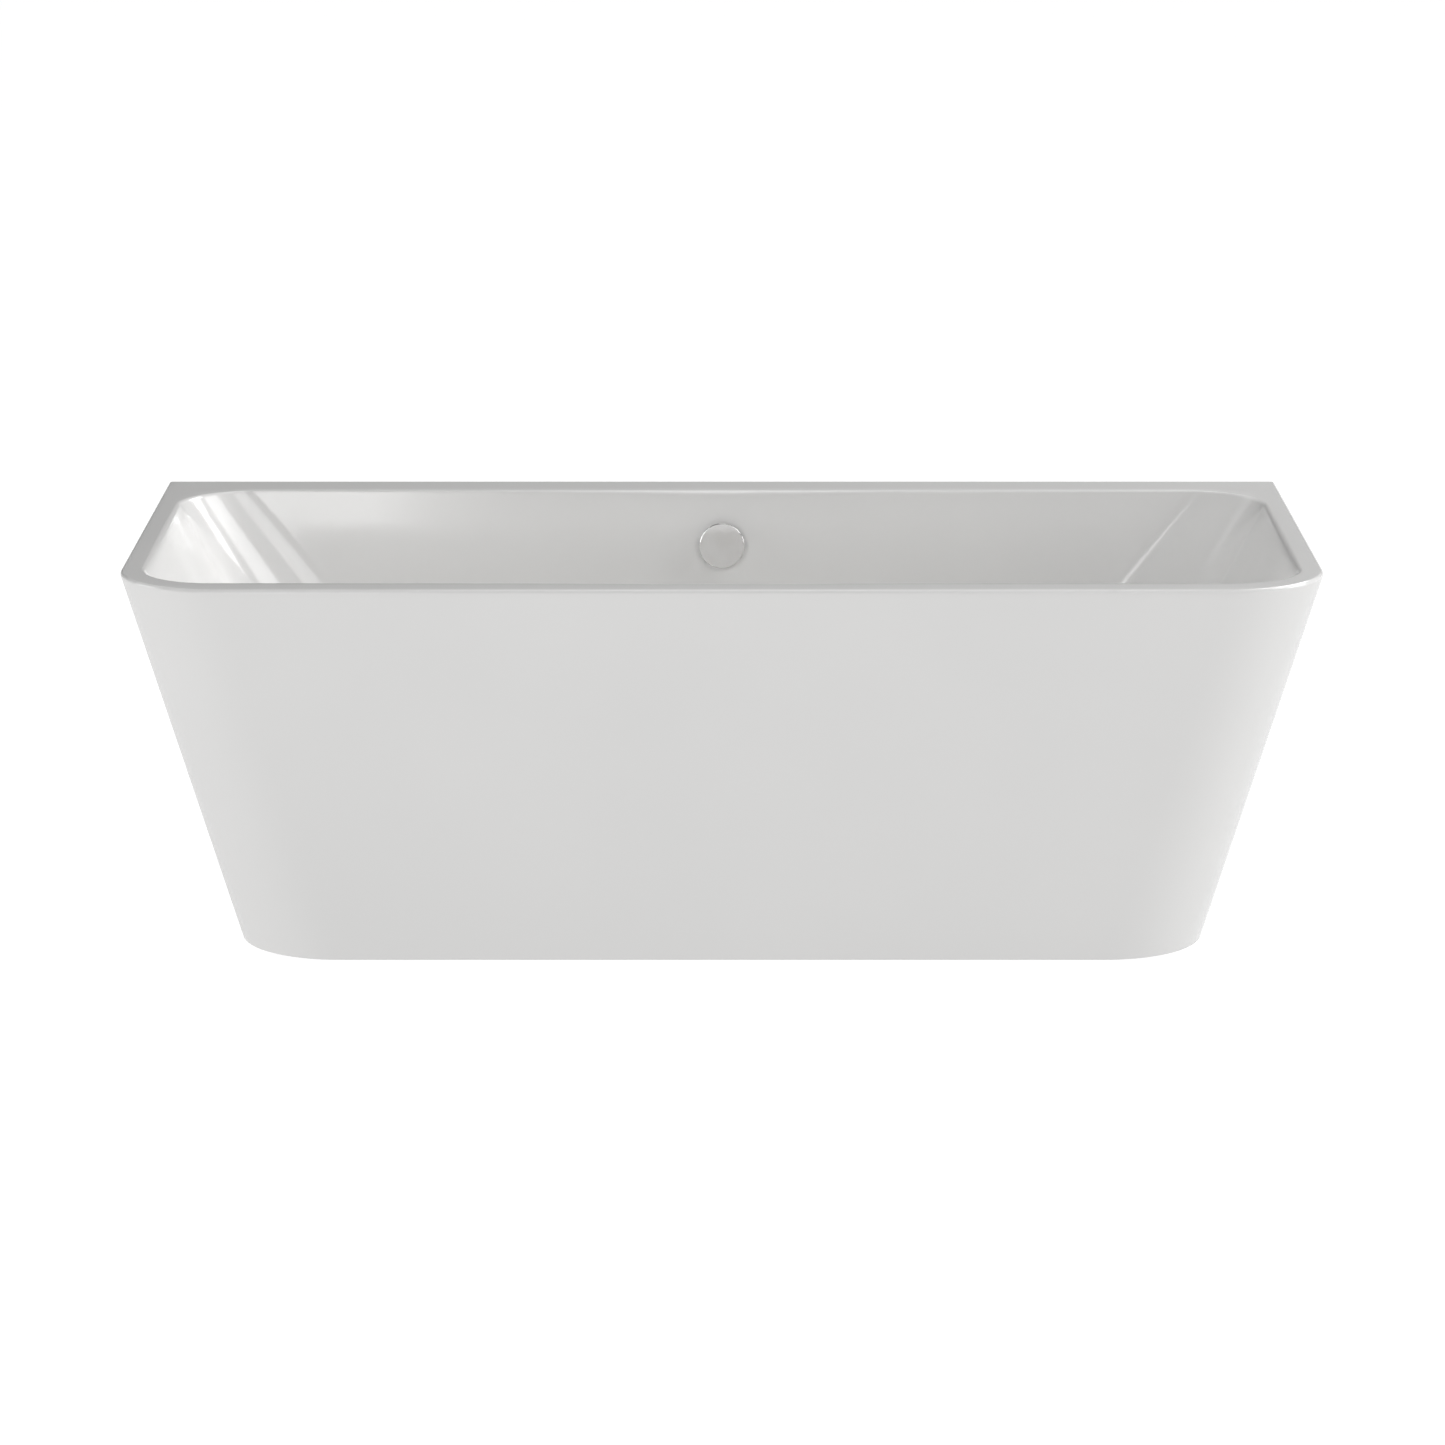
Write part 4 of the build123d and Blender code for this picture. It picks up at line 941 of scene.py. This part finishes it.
def chipboard():
    """Moisture-resistant chipboard: flakes of many browns pressed flat, with dark gaps between."""
    f = Finish("pressed chipboard", IOR=1.45)
    flat = f.mapped((1, 1, 2.4))
    flake = f.single(f.cells(230.0, "Color", flat))
    wood = f.ramp(
        flake,
        (0.0, (0.30, 0.18, 0.09)),
        (0.4, (0.50, 0.35, 0.20)),
        (0.75, (0.62, 0.47, 0.29)),
        (1.0, (0.36, 0.42, 0.24)),
    )
    edge = f.cells(230.0, "Distance", flat, "DISTANCE_TO_EDGE")
    gap = f.span(edge, 0.0, 0.09, 0.55, 1.0)
    grain = f.span(f.noise(1.0, 3.0, 0.6, f.mapped((90, 900, 900), (0, 0, 33))), 0.3, 0.7, 0.8, 1.08)
    dark = f.nodes.new("ShaderNodeCombineColor")
    for channel in ("Red", "Green", "Blue"):
        f.links.new(f.math("MULTIPLY", gap, grain), dark.inputs[channel])
    f.colour(f.mix(1.0, wood, dark.outputs[0], "MULTIPLY"))
    f.roughness(f.span(flake, 0.0, 1.0, 0.66, 0.88))
    f.relief(f.math("ADD", f.math("MULTIPLY", flake, 0.5), edge), 0.0005, 0.9)
    return f.material


def zinc_tube():
    """Welded steel tube, bright zinc plated: fine drawing lines along it and cloudy passivation."""
    f = Finish("zinc-plated steel tube", Metallic=1.0)
    cloud = f.noise(16.0, 5.0, 0.6)
    f.colour(f.ramp(cloud, (0.3, (0.50, 0.52, 0.54)), (0.55, (0.60, 0.61, 0.62)), (0.75, (0.64, 0.62, 0.56))))
    along_x = f.noise(1.0, 3.0, 0.6, f.mapped((6, 900, 900)))
    along_y = f.noise(1.0, 3.0, 0.6, f.mapped((900, 6, 900)))
    lines = f.math("MULTIPLY", f.math("ADD", along_x, along_y), 0.5)
    f.roughness(f.span(f.math("ADD", lines, cloud), 0.7, 1.3, 0.26, 0.46))
    f.relief(f.math("ADD", lines, f.math("MULTIPLY", f.noise(300.0, 3.0), 0.3)), 0.00006, 0.7)
    return f.material


def zinc_fixing():
    """Yellow-passivated screws, nuts and stems, with a patchy rainbow-gold film."""
    f = Finish("yellow-passivated fixings", Metallic=1.0)
    patch = f.noise(190.0, 4.0, 0.6)
    f.colour(f.ramp(
        patch,
        (0.25, (0.60, 0.52, 0.30)),
        (0.5, (0.70, 0.62, 0.38)),
        (0.7, (0.62, 0.60, 0.50)),
        (0.85, (0.58, 0.50, 0.44)),
    ))
    f.roughness(f.span(f.noise(520.0, 3.0), 0.3, 0.7, 0.20, 0.40))
    f.relief(f.noise(1500.0, 2.0), 0.00003, 0.6)
    return f.material


def moulded(name, dark, light, rough, grain, height, cloud=40.0, **values):
    """Moulded plastic: a slight cloud in the colour, spark-eroded grain and finger marks in the gloss."""
    f = Finish(name, **values)
    f.colour(f.ramp(f.noise(cloud, 4.0), (0.3, dark), (0.7, light)))
    texture = f.cells(grain)
    f.roughness(f.span(f.math("ADD", f.noise(cloud * 2, 5.0), texture), 0.6, 1.3, rough * 0.8, rough * 1.2))
    f.relief(f.math("ADD", texture, f.noise(grain * 0.6, 3.0)), height, 0.6)
    return f.material


def chrome():
    """Polished chrome on brass: a deep mirror, a little warm, with fine wiping marks."""
    f = Finish("polished chrome", Metallic=1.0)
    f.colour(f.ramp(f.noise(26.0, 3.0), (0.3, (0.80, 0.79, 0.78)), (0.7, (0.86, 0.855, 0.85))))
    wipes = f.noise(1.0, 4.0, 0.65, f.mapped((240, 60, 60), (0, 35, 20)))
    f.roughness(f.span(wipes, 0.3, 0.75, 0.035, 0.11))
    f.relief(f.noise(70.0, 2.0), 0.00001, 0.5)
    return f.material


def machined_brass():
    """Turned brass: fine tool lines and a brown bloom where it has been handled."""
    f = Finish("machined brass", Metallic=1.0)
    bloom = f.noise(120.0, 5.0, 0.6)
    f.colour(f.ramp(bloom, (0.3, (0.50, 0.33, 0.13)), (0.55, (0.72, 0.52, 0.22)), (0.8, (0.78, 0.60, 0.30))))
    lines = f.noise(1.0, 2.0, 0.5, f.mapped((60, 60, 3200)))
    f.roughness(f.span(f.math("ADD", lines, f.noise(90.0)), 0.7, 1.3, 0.18, 0.40))
    f.relief(lines, 0.00002, 0.7)
    return f.material


def seal_rubber():
    """Black rubber with a dusting of bloom and a soft, fine grain."""
    f = Finish("black seal rubber", IOR=1.52)
    f.colour(f.ramp(f.noise(150.0, 5.0, 0.65), (0.35, (0.016, 0.016, 0.017)), (0.8, (0.055, 0.055, 0.052))))
    f.roughness(f.span(f.noise(420.0, 3.0), 0.3, 0.7, 0.48, 0.72))
    f.relief(f.noise(2200.0, 2.0), 0.00005, 0.7)
    return f.material


def studio_floor():
    """Plain pale floor that glows evenly, and lights the bath a little less than it shows."""
    f = Finish("pale studio floor", Roughness=0.9)
    f.shader.inputs["Emission Color"].default_value = (1.0, 1.0, 1.0, 1.0)
    seen = f.nodes.new("ShaderNodeLightPath").outputs["Is Camera Ray"]
    f.links.new(f.span(seen, 0.0, 1.0, FLOOR_GLOW, 1.0), f.shader.inputs["Emission Strength"])
    f.colour(f.ramp(f.noise(1.5, 2.0), (0.3, grey(0.078)), (0.7, grey(0.082))))
    return f.material


def make_finishes():
    """A material for each of the record's slots."""
    return {
        "acrylic": glossy_acrylic(),
        "laminate": glass_laminate(),
        "board": chipboard(),
        "frame_steel": zinc_tube(),
        "zinc_steel": zinc_fixing(),
        "pad_plastic": moulded(
            "black nylon", (0.018, 0.018, 0.019), (0.032, 0.032, 0.034), 0.45, 900.0, 0.00010, IOR=1.53
        ),
        "chrome": chrome(),
        "brass": machined_brass(),
        "seal_rubber": seal_rubber(),
        "trap_plastic": moulded(
            "white trap plastic", (0.70, 0.70, 0.68), (0.77, 0.77, 0.755), 0.34, 1100.0, 0.00006, IOR=1.49
        ),
        "hose_plastic": moulded(
            "pale grey hose plastic", (0.60, 0.605, 0.60), (0.68, 0.68, 0.67), 0.40, 700.0, 0.00008, IOR=1.49
        ),
        "cable_plastic": moulded(
            "black cable sheath", (0.022, 0.022, 0.024), (0.045, 0.045, 0.048), 0.38, 1800.0, 0.00004, IOR=1.5
        ),
    }


# ------------------------------------------------------------------ studio
CAMERA_AT, CAMERA_DOWN, CAMERA_LENS, SENSOR = (0.001, -7.361, 2.065), 13.52, 127.85, 36.0
AIM = Vector((0, 0, 0.45))
FLOOR_R, FLOOR_SIDES = 60.0, 96
FLOOR_GLOW = 0.75
WORLD_GLOW = 0.01
# name, bearing (0 is the right end, 90 the front), height in degrees, distance, width, height, watts
SOFT_BOXES = (
    ("right low", 0, 14, 6.0, 2.6, 2.0, 112),
    ("right high", 0, 41, 6.0, 2.6, 2.0, 87),
    ("overhead", 0, 88, 6.0, 2.6, 2.0, 57),
    ("front right", 70, 30, 6.0, 2.6, 2.0, 53),
    ("front left", 110, 14, 6.0, 2.6, 2.0, 78),
    ("left low", 180, 14, 6.0, 2.6, 2.0, 85),
    ("back right", 315, 42, 6.0, 2.6, 2.0, 180),
    ("back left", 225, 42, 6.0, 2.6, 2.0, 17),
    ("front card", 90, 3, 7.9, 3.0, 1.6, 11),
)


def soft_box(name, bearing, height, distance, wide, tall, power):
    """Rectangular light that faces the bath."""
    lamp = bpy.data.lights.new(name, "AREA")
    lamp.shape = "RECTANGLE"
    lamp.size, lamp.size_y = wide, tall
    lamp.energy = power
    lamp_object = bpy.data.objects.new(name, lamp)
    bpy.context.collection.objects.link(lamp_object)
    a, e = math.radians(bearing), math.radians(height)
    way = Vector((math.cos(a) * math.cos(e), -math.sin(a) * math.cos(e), math.sin(e)))
    lamp_object.location = AIM + way * distance
    lamp_object.rotation_euler = way.to_track_quat("Z", "Y").to_euler()


def make_studio():
    bm = bmesh.new()
    bmesh.ops.create_circle(bm, cap_ends=True, segments=FLOOR_SIDES, radius=FLOOR_R)
    mesh = bpy.data.meshes.new("studio_floor")
    bm.to_mesh(mesh)
    bm.free()
    floor = new_object("studio_floor", mesh)
    mesh.materials.append(studio_floor())
    floor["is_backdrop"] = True
    world = bpy.data.worlds.new("studio")
    bpy.context.scene.world = world
    world.use_nodes = True
    back = world.node_tree.nodes["Background"]
    back.inputs["Color"].default_value = (1.0, 1.0, 1.0, 1.0)
    back.inputs["Strength"].default_value = WORLD_GLOW
    for box in SOFT_BOXES:
        soft_box(*box)


def make_camera():
    data = bpy.data.cameras.new("camera")
    data.sensor_width = SENSOR
    data.lens = CAMERA_LENS
    camera = bpy.data.objects.new("camera", data)
    bpy.context.collection.objects.link(camera)
    camera.location = CAMERA_AT
    camera.rotation_euler = (math.radians(90 - CAMERA_DOWN), 0, 0)
    bpy.context.scene.camera = camera
    bpy.context.scene.view_settings.view_transform = "Standard"


# ------------------------------------------------------------------ the scene
make_camera()
make_studio()
finishes = make_finishes()
acrylic, chromed, zinc = finishes["acrylic"], finishes["chrome"], finishes["zinc_steel"]
white_plastic, hose_plastic = finishes["trap_plastic"], finishes["hose_plastic"]
threads, grips, places, hoses = thread_tree(), grip_tree(), scatter_tree(), hose_tree()
HERE = Matrix.Identity(4)

fit(make_basin(), HERE, "basin", "bath", acrylic)
fit(make_skirt(), HERE, "skirt", "bath", acrylic)
fit(make_knob(), overflow_frame(), "knob", "overflow_knob", chromed, 35)
fit(make_plug(), along((0, DRAIN_Y, 0), (0, 0, 1)), "plug_cap", "plug", chromed, 35)

FEET = range(1, 6)
for number in FEET:
    stem = make_stem(number, threads, zinc)
    place = Matrix.Translation(middle(f"foot_{number}_stem"))
    fit(stem, place, f"foot_{number}_stem", f"foot_{number}", zinc)

nut_seat = Vector((0, 0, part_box("foot_lock_nuts")[0].z))
nut_spots = [middle(f"foot_{number}_stem").xy.to_3d() + nut_seat for number in FEET]
lock_nuts = fixings("foot_hexagon_lock_nuts", make_lock_nut(), nut_spots, places, zinc)
fit(lock_nuts, HERE, "foot_lock_nuts", "bath", zinc)
screws = fixings("frame_pan_head_screws", make_screw(threads, zinc), screw_places(), places, zinc)
fit(screws, HERE, "frame_screws", "bath", zinc)

fit(make_hose(hoses, hose_plastic), HERE, "overflow_hose", "bath", hose_plastic, 60)
for name, node, way, neck in (
    ("lower_hose_union_nut", "hose_nut_lower", (0, 1, 0), HOSE_NECK),
    ("trap_outlet_union_nut", "outlet_nut", (1, 0, 0), OUTLET_NECK),
    ("tail_union_nut", "tail_nut", (0, 1, 0), TAIL_NECK),
):
    nut, place = straight_nut(name, node, way, neck, grips, white_plastic)
    fit(nut, place, node, "bath", white_plastic, 40)
low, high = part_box("hose_nut_lower")
outside = (high.z - low.z) / 2
inside = outside - NUT_WALL
nut = make_union_nut("upper_hose_union_nut", outside, inside, HOSE_NECK, NUT_LENGTH, grips, white_plastic)
start = Vector((0, -NOZZLE_MOUTH + NUT_LENGTH - NUT_LIP, -NOZZLE_DEPTH))
place = overflow_frame() @ along(start, (0, -1, 0))
fit(nut, place, "hose_nut_upper", "bath", white_plastic, 40)

for part in frame["record"]["subparts"]:
    node = frame["nodes"][part["node"]]
    finish = finishes[part["material_slot"]]
    for k in range(len(node.data.materials)):
        node.data.materials[k] = finish
    if not len(node.data.materials):
        node.data.materials.append(finish)

low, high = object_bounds()
